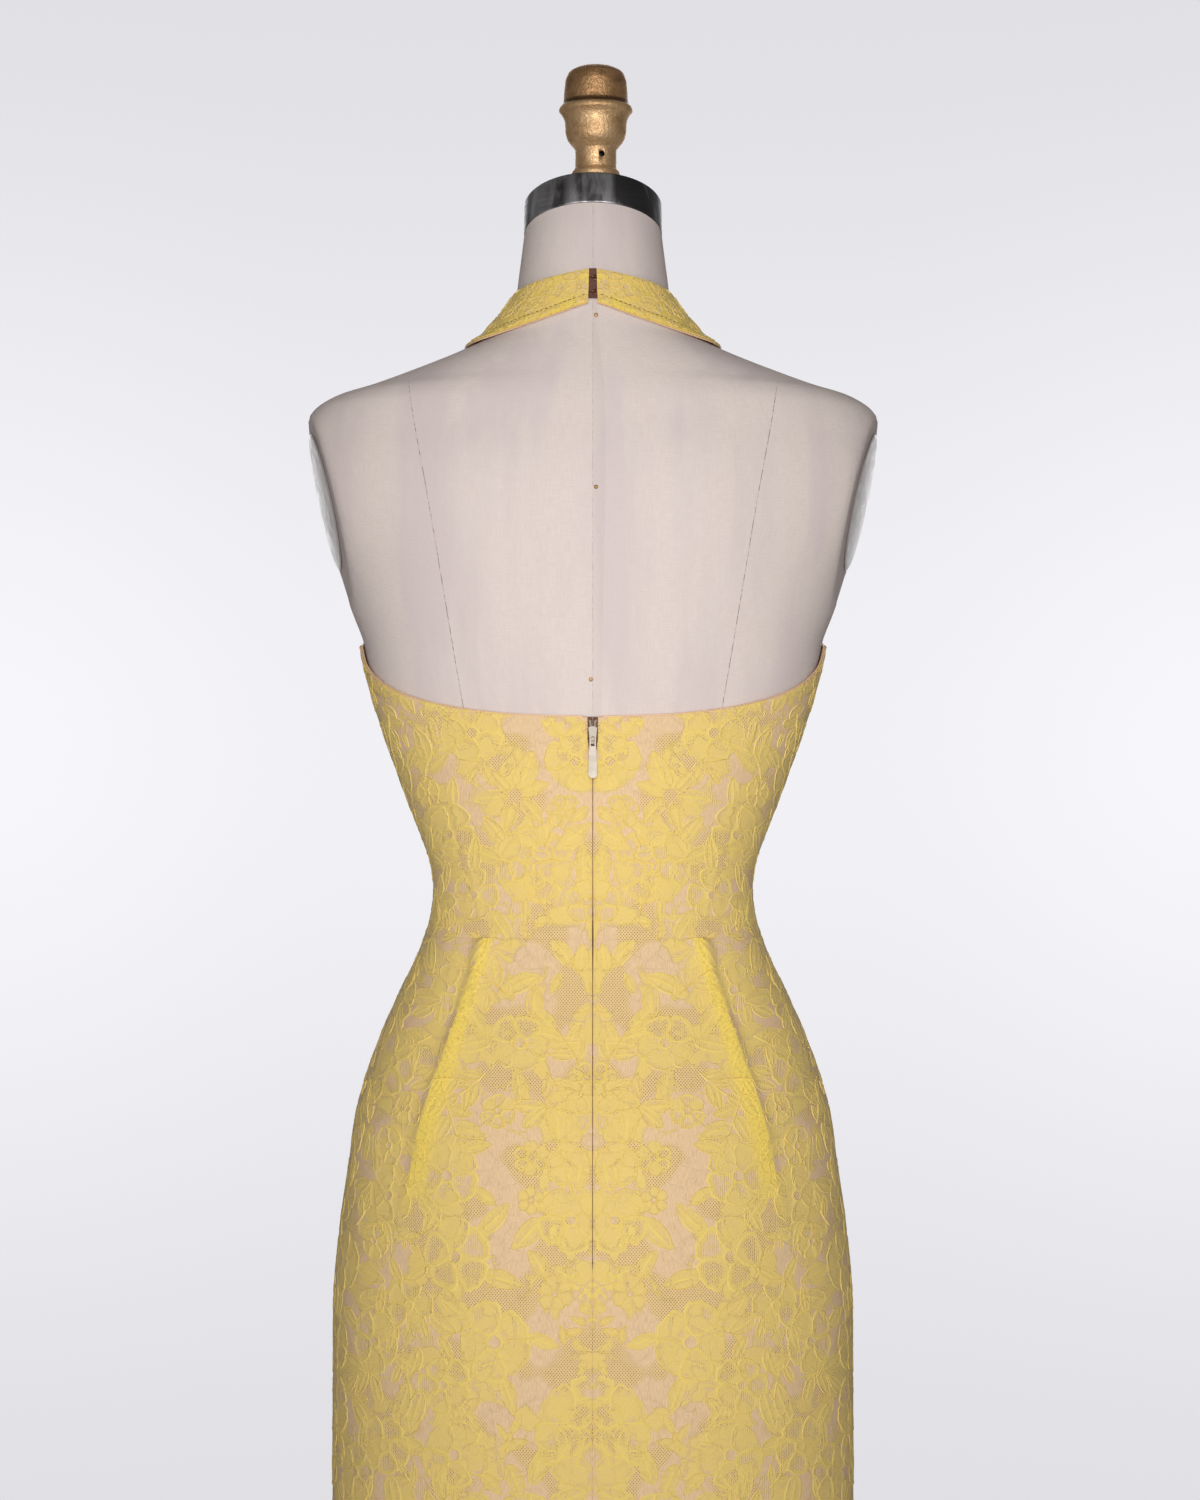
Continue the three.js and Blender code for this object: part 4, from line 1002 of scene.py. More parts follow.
def front_field():
    field = MotifField("front", HEM_LEVEL, SHOULDER_NECK_LEVEL, FIELD_WIDTH, seed=23)
    plant(field, REPEATS[:1] + (BUST_REPEAT,) + REPEATS[1:])
    field.fill(FILL_ROWS)
    return field


def band_field():
    field = MotifField("back", *BAND_FIELD, seed=31)
    field.fill(BAND_ROWS, share=0.97)
    return field


LOW_TURN, HIGH_TURN, LOW_LEVEL, HIGH_LEVEL = 1, 2, 4, 8


def clip_to_panel(name, u, level, face):
    """The turns and levels of motif points, held at the panel's edges, and which edge each is held at."""
    held = np.zeros(len(u), int)

    def hold(value, low, high, low_flag, high_flag):
        nonlocal held
        held = held | np.where(value < low, low_flag, 0) | np.where(value > high, high_flag, 0)
        return np.clip(value, low, high)

    level_limits = {"skirt": (HEM_LEVEL + 0.3, WAIST_LEVEL - 0.05), "bodice": (WAIST_LEVEL + 0.05, 2000)}
    low, high = level_limits.get(name.split("_")[0], (1440, 1520))
    level = hold(level, low, high, LOW_LEVEL, HIGH_LEVEL)
    turn = ARCS.turn(np.maximum(u, 0), level, face)
    if name.startswith("bodice_back"):
        level = hold(level, low, back_top(turn) - 0.6, LOW_LEVEL, HIGH_LEVEL)
    elif name.startswith("neck_band"):
        level = hold(level, band_low(turn) + 0.8, band_high(turn) - 0.4, LOW_LEVEL, HIGH_LEVEL)
    elif name.startswith("bodice_front"):
        level = hold(level, low, neckline(turn) - 0.4, LOW_LEVEL, HIGH_LEVEL)
    turn = ARCS.turn(np.maximum(u, 0), level, face)
    if name.startswith("neck_band"):
        turn = hold(turn, back_turn(3.2, BAND_MIDDLE_LEVEL), 90 - SHOULDER_SEAM_TURN, LOW_TURN, HIGH_TURN)
    elif face == "back":
        edge = back_turn(lace_opening(level) + 0.2, level)
        turn = hold(turn, edge, 90 - side_seam(level), LOW_TURN, HIGH_TURN)
    else:
        edge = np.where(level > SIDE_TOP_LEVEL, armhole_turn(level) + 0.2, 90 + side_seam(level))
        turn = hold(turn, edge, 180, LOW_TURN, HIGH_TURN)
        held = held | np.where(u < 0, HIGH_TURN, 0)
    return turn, level, held


def add_motifs(material):
    fields = {"back": back_field(), "front": front_field(), "band": band_field()}
    made = {}
    for name, face, sides, _ in PANELS:
        kind = cloth_kind(name, face)
        points, faces = fields[kind].arrays()
        turn, level, held = clip_to_panel(name, points[:, 0], points[:, 1], face)
        outside = np.bitwise_and.reduce(held[faces], axis=1) != 0
        kept = faces[~outside]
        used = np.unique(kept)
        renumber = np.zeros(len(points), int)
        renumber[used] = np.arange(len(used))
        turn, level, held, rows = turn[used], level[used], held[used], points[used]
        u = ARCS.along(turn, level, face)
        at_centre_front = (face == "front") & (held == HIGH_TURN)
        height = np.where((held == 0) | at_centre_front, rows[:, 2], SUNK)
        base = LACE[1] + relief(turn, level, u, kind)
        doubled = dart_band(level, u) if name.startswith("skirt_back") else 0 * u
        attributes = {"cloth": np.stack([u, level, rows[:, 3]], axis=-1), "doubled": doubled}
        for side in sides:
            hand = "" if len(sides) == 1 else ("_left" if side > 0 else "_right")
            placed = CLOTH.offset(side * turn, level, base + height)
            ordered = renumber[kept]
            if (face == "front") != (side < 0):
                ordered = ordered[:, ::-1]
            shapes = [tuple(dict.fromkeys(f)) for f in ordered.tolist()]
            shapes = [f for f in shapes if len(f) > 2]
            piece = mesh_object("lace_motifs_" + name + hand, placed, shapes, attributes)
            finish_piece(piece, material)
            made.setdefault(name, []).append(piece)
    return made


# ---------------------------------------------------------------- the dress form
def ring_body(points, count, foot, head, clockwise=False):
    """Rings of points from the foot up, as points and faces closed by a fan over each end's middle."""
    rings = len(points) // count
    bands = ring_faces(count, rings)
    if not clockwise:
        bands = np.roll(bands[:, ::-1], 1, axis=1)
    top = (rings - 1) * count
    around = [(a, (a + 1) % count) for a in range(count)]
    fans = [(len(points), b, a) for a, b in around]
    fans += [(len(points) + 1, top + a, top + b) for a, b in around]
    if clockwise:
        fans = [(middle, b, a) for middle, a, b in fans]
    return np.vstack([points, [0, 0, foot], [0, 0, head]]), bands.tolist() + fans


def turned_mesh(profile, segments, name):
    """A body of revolution about its own Z, from (radius, height) pairs that start and end on the axis."""
    rings = np.array(profile[1:-1], float)
    angle = np.linspace(0, 2 * np.pi, segments, endpoint=False)
    xs = rings[:, :1] * np.cos(angle)
    ys = rings[:, :1] * np.sin(angle)
    zs = np.repeat(rings[:, 1:], segments, axis=1)
    points = np.stack([xs, ys, zs], axis=-1).reshape(-1, 3)
    return mesh_object(name, *ring_body(points, segments, profile[0][1], profile[-1][1]))


TORSO_LEVEL_STEPS = ((785, 1400, 6.0), (1400, 1420, 3.0), (1420, 1470, 1.6), (1470, 1548, 3.5))
TORSO_COLUMNS = 150
COVER_RADIUS = 150  # for the weave's distance round the form


def add_torso(material):
    levels = np.unique(np.concatenate([np.append(np.arange(a, b, s), b) for a, b, s in TORSO_LEVEL_STEPS]))
    turns = np.linspace(0, 360, TORSO_COLUMNS, endpoint=False)
    turn, level = np.meshgrid(turns, levels)
    points = FORM.point(turn, level).reshape(-1, 3)
    points, faces = ring_body(points, TORSO_COLUMNS, TORSO_BOTTOM_LEVEL, NECK_TOP_LEVEL, clockwise=True)
    across = np.radians(np.append(turn.ravel(), [0, 0])) * COVER_RADIUS
    cloth = np.column_stack([across, np.append(level.ravel(), [0, 0]), np.zeros(len(points))])
    piece = mesh_object("form_linen_cover", points, faces, {"cloth": cloth})
    return finish_piece(piece, material, replaces=["form_torso"])


def ribbon(name, path, normals, half, height):
    """A low ridge along a path on a surface."""
    along = np.gradient(path, axis=0)
    across = np.cross(along, normals)
    across *= half / np.linalg.norm(across, axis=1, keepdims=True)
    foot = normals * 0.2
    points = np.vstack([path - across - foot, path + normals * height, path + across - foot])
    return mesh_object(name, points, grid_faces(3, len(path)))


PRINCESS_SEAM = (  # level, distance from centre back
    (1200, 88.5), (1250, 97), (1290, 103.5), (1350, 113.5), (1400, 123), (1432, 129),
)
BACK_SEAM_LEVELS = (1203.0, 1547.0)
FRONT_SEAM_LEVELS = (1452.0, 1547.0)
SEAM_HALF = 0.5
SEAM_HEIGHT = 0.14


def seam_on_form(name, levels, xs, facing, material):
    turns = np.degrees(np.arcsin(np.clip(xs / FORM.value["half"](levels), -1, 1)))
    for _ in range(12):
        found = FORM.point(turns, levels)[:, 0]
        turns = turns + np.degrees((xs - found) / FORM.value["half"](levels)) * 0.8
    turns = turns if facing == "back" else 180 - turns
    path = FORM.offset(turns, levels, 0.05)
    piece = ribbon(name, path, FORM.normal(turns, levels), SEAM_HALF, SEAM_HEIGHT)
    return finish_piece(piece, material)


PINS = ((-2.3, 1470.0), (-2.3, 1357.0), (1.2, 1225.5))  # x and level of the brass pins down centre back
PIN_RADIUS = 1.5
PIN_HEIGHT = 1.1
PIN_DOME = np.linspace(-1.3, 1.3, 7)  # angles up its side


def add_form_details(panel_seam_material, seam_material, pin_material):
    seam = Smooth(*zip(*PRINCESS_SEAM))
    levels = np.linspace(PRINCESS_SEAM[0][0], PRINCESS_SEAM[-1][0], 60)
    for hand, side in (("left", 1), ("right", -1)):
        seam_on_form("form_princess_seam_" + hand, levels, side * seam(levels), "back", panel_seam_material)
    upper = np.linspace(*BACK_SEAM_LEVELS, 80)
    seam_on_form("form_centre_back_seam", upper, 0 * upper, "back", seam_material)
    front = np.linspace(*FRONT_SEAM_LEVELS, 30)
    seam_on_form("form_centre_front_seam", front, 0 * front, "front", seam_material)
    for k, (x, level) in enumerate(PINS):
        turn = back_turn(x, level)
        place = FORM.offset(turn, level, 0.5)
        dome = [(PIN_RADIUS * math.cos(a), PIN_HEIGHT * math.sin(a)) for a in PIN_DOME]
        profile = [(0, -PIN_HEIGHT)] + dome + [(0, PIN_HEIGHT)]
        pin = turned_mesh(profile, 16, "form_pin_%d" % (k + 1))
        facing = Vector(FORM.normal(turn, level)).to_track_quat("Z", "Y").to_matrix().to_4x4()
        pin.data.transform(Matrix.Translation(Vector(place) * MM) @ facing)
        finish_piece(pin, pin_material)


ROUNDING_STEPS = 4


def rounded(corners, radius):
    """A profile of (radius, height) corners with each inner corner rounded."""
    out = [corners[0]]
    for before, corner, after in zip(corners, corners[1:], corners[2:]):
        b, c, a = (np.array(p, float) for p in (before, corner, after))
        to_b, to_a = b - c, a - c
        r = min(radius, np.linalg.norm(to_b) * 0.45, np.linalg.norm(to_a) * 0.45)
        start, end = c + to_b / np.linalg.norm(to_b) * r, c + to_a / np.linalg.norm(to_a) * r
        for t in np.linspace(0, 1, ROUNDING_STEPS + 1):
            out.append(tuple((1 - t) ** 2 * start + 2 * t * (1 - t) * c + t * t * end))
    return out + [corners[-1]]


CAP_EDGE = 1.6


def add_neck_cap(material):
    r, h = NECK_CAP["radius"], NECK_CAP["height"]
    groove = [(r - 6.5, h), (r - 7.5, h - 0.8), (r - 8.5, h)]
    profile = rounded([(0, SEAM_GAP), (r, SEAM_GAP), (r, h), (0, h)], CAP_EDGE)[:-1] + groove + [(0, h)]
    piece = turned_mesh(profile, 160, "neck_cap")
    tilt = Matrix.Rotation(math.radians(NECK_CAP["tilt"]), 4, "X")
    piece.data.transform(Matrix.Translation((0, 0, NECK_TOP_LEVEL * MM)) @ tilt)
    return finish_piece(piece, material, replaces=["form_neck_cap"])


FINIAL_PROFILE = (  # height, radius
    (1562, 17.4), (1594.5, 17.4), (1597, 14.8), (1611, 14.8), (1613.5, 17), (1617, 20), (1622, 21.8),
    (1632, 22.3), (1636, 24.4), (1638.5, 26.6), (1641, 26.2), (1644, 23.2), (1652, 22.8), (1661, 22),
    (1667, 19.4), (1670.5, 12.5),
)
FINIAL_TOP = 1671.5
FINIAL_EDGE = 2.2
FINIAL_OFF_CENTRE = -2.0
SET_HOLE = {"height": 1605.5, "radius": 2.2, "depth": 7.0, "turn": 17.0, "stem": 14.8}


def add_finial(material):
    corners = [(0, FINIAL_PROFILE[0][0])] + [(r, h) for h, r in FINIAL_PROFILE] + [(0, FINIAL_TOP)]
    piece = turned_mesh(rounded(corners, FINIAL_EDGE), 112, "finial")
    radius, depth = SET_HOLE["radius"], SET_HOLE["depth"]
    cut = turned_mesh([(0, -depth), (radius, -depth), (radius, depth), (0, depth)], 28, "cutter")
    cut.data.transform(Matrix.Rotation(math.radians(SET_HOLE["turn"]), 4, "Z")
                       @ Matrix.Translation((0, SET_HOLE["stem"] * MM, SET_HOLE["height"] * MM))
                       @ Matrix.Rotation(math.radians(90), 4, "X"))
    hole = piece.modifiers.new("set_hole", "BOOLEAN")
    hole.operation, hole.object, hole.solver = "DIFFERENCE", cut, "EXACT"
    depsgraph = bpy.context.evaluated_depsgraph_get()
    holed = bpy.data.meshes.new_from_object(piece.evaluated_get(depsgraph))
    piece.modifiers.clear()
    piece.data = holed
    bpy.data.objects.remove(cut)
    piece.data.transform(Matrix.Translation((FINIAL_OFF_CENTRE * MM, 0, 0)))
    return finish_piece(piece, material, replaces=["form_finial"])


# ---------------------------------------------------------------- the zip and the neck fastening
def tube(name, path, radius, sides):
    """A closed tube along a path in millimetres."""
    path = np.asarray(path, float)
    along = np.gradient(path, axis=0)
    along /= np.linalg.norm(along, axis=1, keepdims=True)
    side = np.cross(along, [0.13, 0.97, 0.2])
    side /= np.linalg.norm(side, axis=1, keepdims=True)
    other = np.cross(along, side)
    angle = np.linspace(0, 2 * np.pi, sides, endpoint=False)[None, :, None]
    ring = side[:, None, :] * np.cos(angle) + other[:, None, :] * np.sin(angle)
    points = (path[:, None, :] + ring * radius).reshape(-1, 3)
    bands = np.roll(ring_faces(sides, len(path))[:, ::-1], 1, axis=1)
    first, last = list(range(sides)), list(range(len(points) - sides, len(points)))
    return mesh_object(name, points, bands.tolist() + [first[::-1], last])


TAPE_HEIGHTS = (1.55, 2.3)
TAPE_LEVELS = (1480.5, 1500.5)
TAPE_HALF = 2.75


def add_neck_tape(material):
    """The tape behind the gap between the neck band's ends, which carries the hooks and eyes. Its dark
    brown is partly the tape's own colour and partly painted shade of the gap.
    """
    turns = np.linspace(-1, 1, 7) * back_turn(TAPE_HALF, BAND_MIDDLE_LEVEL)
    turn, level = np.meshgrid(turns, np.linspace(*TAPE_LEVELS, 8))
    points, walls = closed_wall(turn.ravel(), level.ravel(), grid_faces(*turn.shape), *TAPE_HEIGHTS)
    finish_piece(mesh_object("neck_hook_tape", points, walls), material)


STITCH_LENGTH = 2.6
STITCH_PITCH = 3.5
STITCH_HALF = 0.34


def add_band_stitches(material):
    """A broken line of stitches along each neck band, a little above its lower edge."""
    turns = np.linspace(back_turn(4.5, BAND_MIDDLE_LEVEL), 88.0, 400)
    for hand, side in (("left", 1), ("right", -1)):
        level = band_low(turns) + BAND_STITCH_UP
        base = LACE[1] + relief(turns, level, 0 * turns, "band")
        path = CLOTH.offset(side * turns, level, base + 0.32)
        run = np.concatenate([[0], np.cumsum(np.linalg.norm(np.diff(path, axis=0), axis=1))])
        points, faces = [], []
        for start in np.arange(0, run[-1] - STITCH_LENGTH, STITCH_PITCH):
            ends = [np.array([np.interp(at, run, path[:, k]) for k in range(3)])
                    for at in (start, start + STITCH_LENGTH)]
            along = (ends[1] - ends[0]) / STITCH_LENGTH
            out = CLOTH.normal(side * np.interp(start, run, turns), np.interp(start, run, level))
            beside = np.cross(along, out)
            count = len(points)
            for share, half in ((0, STITCH_HALF / 2), (0.5, STITCH_HALF), (1, STITCH_HALF / 2)):
                middle = lerp(ends[0], ends[1], share) + out * (0.2 if share == 0.5 else -0.1)
                points += [middle + corner * half for corner in (beside, out, -beside, -out)]
            bands = np.roll(ring_faces(4, 3)[:, ::-1], 1, axis=1)
            faces += (np.vstack([bands, [3, 2, 1, 0], [8, 9, 10, 11]]) + count).tolist()
        finish_piece(mesh_object("neck_band_stitches_" + hand, points, faces), material)


COIL_FOOT_LEVEL = SLIDER_LEVEL + 4
COIL_RADIUS = 0.75
COIL_THREAD = 0.26
COIL_PITCH = 1.0
CHAIN_TOP_LEVEL = 1181.0
CHAIN_HEIGHT = 2.62
CHAIN_THREAD = 0.42


def add_zip(coil_material, shaded_chain_material):
    """The open coils above the slider, and the closed chain that shows as a line below it, painted dark
    brown as painted shade of the gap.
    """
    turns_in_coil = (BACK_TOP_LEVEL - 2 - COIL_FOOT_LEVEL) / COIL_PITCH
    phase = np.linspace(0, 2 * np.pi * turns_in_coil, int(turns_in_coil * 14))
    level = COIL_FOOT_LEVEL + phase / (2 * np.pi) * COIL_PITCH
    out = CLOTH.normal(0.0, level)
    for hand, side in (("left", 1), ("right", -1)):
        spread = lerp(1.1, 2.0, (level - level[0]) / (level[-1] - level[0]))
        path = CLOTH.point(0.0, level) + out * (3.3 + 0.6 * np.sin(phase))[:, None]
        path[:, 0] = side * (spread + COIL_RADIUS * np.cos(phase))
        finish_piece(tube("zip_coil_" + hand, path, COIL_THREAD, 6), coil_material)
    level = np.arange(ZIP_END_LEVEL + 2, CHAIN_TOP_LEVEL, 1.5)
    path = CLOTH.offset(0.0, level, CHAIN_HEIGHT)
    path[:, 0] = 0.0
    finish_piece(tube("zip_chain", path, CHAIN_THREAD, 6), shaded_chain_material)


# ---------------------------------------------------------------- materials
def srgb(r, g, b):
    """A display colour as scene-linear values."""
    shares = (r / 255, g / 255, b / 255)
    return (*[c / 12.92 if c <= 0.04045 else ((c + 0.055) / 1.055) ** 2.4 for c in shares], 1.0)


class Nodes:
    """Short ways to add nodes to an empty node tree."""

    def __init__(self, tree):
        self.tree = tree
        tree.nodes.clear()

    def node(self, kind, sockets=None, **settings):
        node = self.tree.nodes.new(kind)
        for key, value in settings.items():
            setattr(node, key, value)
        for key, value in (sockets or {}).items():
            self.put(node.inputs[key.replace("_", " ") if isinstance(key, str) else key], value)
        return node

    def put(self, socket, value):
        if isinstance(value, bpy.types.NodeSocket):
            self.tree.links.new(value, socket)
        else:
            socket.default_value = value

    def math(self, operation, a, b=0.0, c=0.0):
        return self.node("ShaderNodeMath", {0: a, 1: b, 2: c}, operation=operation).outputs[0]

    def vector_math(self, operation, sockets):
        return self.node("ShaderNodeVectorMath", sockets, operation=operation).outputs[0]

    def mix(self, share, a, b):
        return self.node("ShaderNodeMix", {0: share, 6: a, 7: b}, data_type="RGBA").outputs[2]

    def ease(self, value, low, high, to_low=0.0, to_high=1.0):
        sockets = {0: value, 1: low, 2: high, 3: to_low, 4: to_high}
        return self.node("ShaderNodeMapRange", sockets, interpolation_type="SMOOTHSTEP").outputs[0]

    def noise(self, vector, scale, detail=2.0, roughness=0.5):
        sockets = {"Vector": vector, "Scale": scale, "Detail": detail, "Roughness": roughness}
        return self.node("ShaderNodeTexNoise", sockets).outputs[0]

    def wander(self, vector, scale, reach):
        """The vector pushed about by up to half the reach, in its own units."""
        sockets = {"Vector": vector, "Scale": scale, "Detail": 2.0}
        cloud = self.node("ShaderNodeTexNoise", sockets).outputs[1]
        pushed = self.vector_math("SUBTRACT", {0: cloud, 1: (0.5, 0.5, 0.5)})
        long = self.vector_math("SCALE", {0: pushed, 3: reach})
        return self.vector_math("ADD", {0: vector, 1: long})

    def scaled(self, vector, scale):
        return self.node("ShaderNodeMapping", {"Vector": vector, "Scale": scale}).outputs[0]

    def parts(self, vector):
        return self.node("ShaderNodeSeparateXYZ", {0: vector}).outputs


class Finish(Nodes):
    """A Principled material."""

    def __init__(self, name, **sockets):
        self.material = bpy.data.materials.new(name)
        self.material.use_nodes = True
        super().__init__(self.material.node_tree)
        self.shader = self.node("ShaderNodeBsdfPrincipled", sockets)
        self.node("ShaderNodeOutputMaterial", {"Surface": self.shader.outputs[0]})

    def set(self, name, value):
        self.put(self.shader.inputs[name], value)

    def paint(self, share, low, high):
        """The base colour, from a low to a high display colour."""
        self.set("Base Color", self.mix(share, srgb(*low), srgb(*high)))

    def cloth(self):
        return self.node("ShaderNodeAttribute", attribute_name="cloth").outputs["Vector"]

    def place(self):
        """Object coordinates, in metres."""
        return self.node("ShaderNodeTexCoord").outputs["Object"]

    def bump(self, height, distance, strength=1.0):
        node = self.node("ShaderNodeBump", {"Height": height, "Distance": distance, "Strength": strength})
        self.set("Normal", node.outputs[0])


NET_PITCH = 2.1
NET_STRETCH = 1.15  # of its open diamonds, upwards
THREAD_PITCH = 1.5
LEAFLET = 0.072  # how many leaflets of the worked ground go to a millimetre


def lace_material():
    f = Finish("yellow_lace", Roughness=0.74, Specular_IOR_Level=0.2, Sheen_Weight=0.08,
               Sheen_Roughness=0.5)
    u, v, worked = f.parts(f.cloth())
    flat = f.node("ShaderNodeCombineXYZ", {0: u, 1: v}).outputs[0]
    # Bare ground: the lining through fine plain tulle, and a coarser net with open diamonds in places. In
    # the diamonds the lining is painted darker and browner as painted shade, the net's shadow on it.
    grain = f.noise(f.scaled(flat, (1.3, 0.2, 0.0)), 1.0, 3.0, 0.6)
    plain = f.mix(f.ease(grain, 0.35, 0.68), srgb(222, 187, 145), srgb(234, 203, 162))
    slant = f.math("DIVIDE", u, NET_PITCH)
    climb = f.math("DIVIDE", v, NET_PITCH * NET_STRETCH)
    rising = f.math("PINGPONG", f.math("ADD", slant, climb), 0.5)
    falling = f.math("PINGPONG", f.math("SUBTRACT", slant, climb), 0.5)
    hole = f.ease(f.math("MINIMUM", rising, falling), 0.19, 0.33)
    # Painted shade: the holes' colour is the lining darkened by the net's shadow.
    net = f.mix(hole, srgb(236, 205, 144), srgb(188, 141, 104))
    netted = f.ease(f.noise(flat, 0.024, 1.0, 0.4), 0.5, 0.57)
    # Worked ground: leaflets of close thread between cords, half open or left bare here and there.
    shaken = f.wander(f.wander(flat, 0.05, 16.0), 0.4, 3.0)
    cells = {"Vector": shaken, "Scale": LEAFLET}
    kind = f.parts(f.node("ShaderNodeTexVoronoi", cells).outputs["Color"])[0]
    rim = f.node("ShaderNodeTexVoronoi", cells, feature="DISTANCE_TO_EDGE").outputs[0]
    filled = f.ease(kind, 0.36, 0.52, 1.0, 0.0)
    filled = f.math("MULTIPLY", filled, f.ease(rim, 0.03, 0.09))
    corded = f.math("MULTIPLY", f.ease(rim, 0.018, 0.045, 1.0, 0.0), f.ease(kind, 0.55, 0.75, 1.0, 0.0))
    bare = f.ease(f.math("ADD", worked, f.math("MULTIPLY_ADD", grain, 0.5, -0.25)), -0.35, -0.12)
    own = f.math("MULTIPLY", f.math("MAXIMUM", filled, f.math("MULTIPLY", corded, 1.3)), bare)
    doubled = f.node("ShaderNodeAttribute", attribute_name="doubled").outputs["Fac"]
    amount = f.math("MULTIPLY_ADD", doubled, 0.6, f.math("MAXIMUM", worked, own))
    # Close thread, striped where it is half open, and brighter cord.
    thread = f.noise(f.scaled(flat, (2.6, 0.55, 0.0)), 1.0, 2.0, 0.5)
    blotch = f.noise(flat, 0.05, 2.0, 0.5)
    close = f.mix(f.ease(thread, 0.3, 0.7), srgb(228, 197, 111), srgb(237, 208, 127))
    close = f.mix(f.ease(blotch, 0.35, 0.7, 0.0, 0.3), close, srgb(229, 196, 132))
    close = f.mix(f.math("MULTIPLY", doubled, 0.85), close, srgb(244, 214, 98))
    fleck = f.ease(f.noise(flat, 0.5, 2.0, 0.6), 0.5, 0.64)
    close = f.mix(f.math("MULTIPLY", fleck, f.math("MULTIPLY", doubled, 0.45)), close, srgb(196, 156, 78))
    cord = f.mix(f.ease(f.math("MAXIMUM", worked, own), 1.05, 1.5), close, srgb(239, 210, 114))
    stripe = f.math("PINGPONG", f.math("DIVIDE", u, THREAD_PITCH), 0.5)
    rough = f.math("MULTIPLY_ADD", f.noise(flat, 0.24, 3.0, 0.6), 1.3, -0.72)
    open_work = f.math("ADD", rough, f.math("MULTIPLY_ADD", stripe, 0.8, -0.2))
    solid = f.ease(f.math("ADD", amount, open_work), 0.28, 0.66)
    gap = f.math("MULTIPLY", netted, f.math("SUBTRACT", 1.0, solid))
    f.set("Base Color", f.mix(solid, f.mix(netted, plain, net), cord))
    threads = f.math("MULTIPLY_ADD", f.math("ADD", thread, grain), 0.4, f.math("MULTIPLY", solid, 0.5))
    raised = f.math("MULTIPLY_ADD", corded, 0.5, threads)
    f.bump(f.math("SUBTRACT", raised, f.math("MULTIPLY", hole, gap)), 0.0009, 0.6)
    return f.material


def lining_material():
    f = Finish("nude_lining", Roughness=0.5, Specular_IOR_Level=0.35, Sheen_Weight=0.1)
    grain = f.noise(f.scaled(f.cloth(), (1.6, 0.3, 0.0)), 1.0, 2.0, 0.6)
    f.paint(grain, (224, 182, 140), (236, 200, 158))
    f.bump(grain, 0.0003, 0.3)
    return f.material


def shaded_tape_material():
    f = Finish("zip_tape", Roughness=0.8, Specular_IOR_Level=0.2)
    ribs = f.math("PINGPONG", f.math("MULTIPLY", f.parts(f.place())[2], 900.0), 1.0)
    # Painted shade: the tape is painted dark brown to stand in for the shade in the centre-back gap, where
    # it shows.
    f.paint(ribs, (88, 58, 50), (126, 90, 72))
    f.bump(ribs, 0.0003, 0.5)
    return f.material


def linen_material():
    f = Finish("linen_cover", Roughness=0.92, Specular_IOR_Level=0.15)
    cloth = f.cloth()
    place = f.place()
    warp = f.noise(f.scaled(cloth, (1.5, 0.09, 0.0)), 1.0, 3.0, 0.6)
    weft = f.noise(f.scaled(cloth, (0.12, 1.5, 0.0)), 1.0, 3.0, 0.6)
    weave = f.math("ADD", warp, weft)
    streak = f.noise(f.scaled(place, (30.0, 30.0, 2.2)), 1.0, 3.0, 0.5)
    colour = f.mix(f.ease(weave, 0.7, 1.3), srgb(217, 203, 196), srgb(225, 212, 204))
    colour = f.mix(f.ease(streak, 0.4, 0.65), colour, f.mix(0.6, colour, srgb(209, 194, 193)))
    f.set("Base Color", colour)
    f.bump(weave, 0.0006, 0.4)
    return f.material


def seam_material(name, low, high):
    f = Finish(name, Roughness=0.95, Specular_IOR_Level=0.1)
    stitch = f.noise(f.scaled(f.place(), (500.0, 500.0, 260.0)), 1.0, 1.0, 0.5)
    f.paint(f.ease(stitch, 0.4, 0.6), low, high)
    return f.material


def steel_material(name, low, high, roughness, painted_light_bands=()):
    """Brushed steel with soft upright streaks. The last argument gives bands along x as middle, half width
    and share: painted highlights where the share is above zero, painted shade where it is below.
    """
    f = Finish(name, Metallic=1.0, Anisotropic=0.4)
    place = f.place()
    brush = f.noise(f.scaled(place, (8.0, 8.0, 900.0)), 1.0, 3.0, 0.6)
    streak = f.ease(f.noise(f.scaled(place, (90.0, 90.0, 4.0)), 1.0, 3.0, 0.6), 0.4, 0.7)
    x = f.parts(place)[0]
    # Painted highlights and painted shade: bands along x that brighten or darken the steel where
    # reflections of the lights fall.
    for middle, half, share in painted_light_bands:
        away = f.math("ABSOLUTE", f.math("SUBTRACT", x, middle * MM))
        streak = f.math("ADD", streak, f.ease(away, 0.0, half * MM, share, 0.0))
    f.paint(streak, low, high)
    f.set("Roughness", f.ease(brush, 0.2, 0.8, roughness - 0.06, roughness + 0.1))
    f.bump(brush, 0.0002, 0.25)
    return f.material


# Painted highlights where the cap reflects the lights, and one dark band (the negative share) as painted
# shade.
CAP_PAINTED_LIGHT = ((36, 12, 1.0), (16, 7, 0.7), (6, 3, 0.4), (-11, 6, 0.9), (-31, 15, -0.6))
KNOB_FOOT = 1.6425  # metres, where the finial's darker knob begins


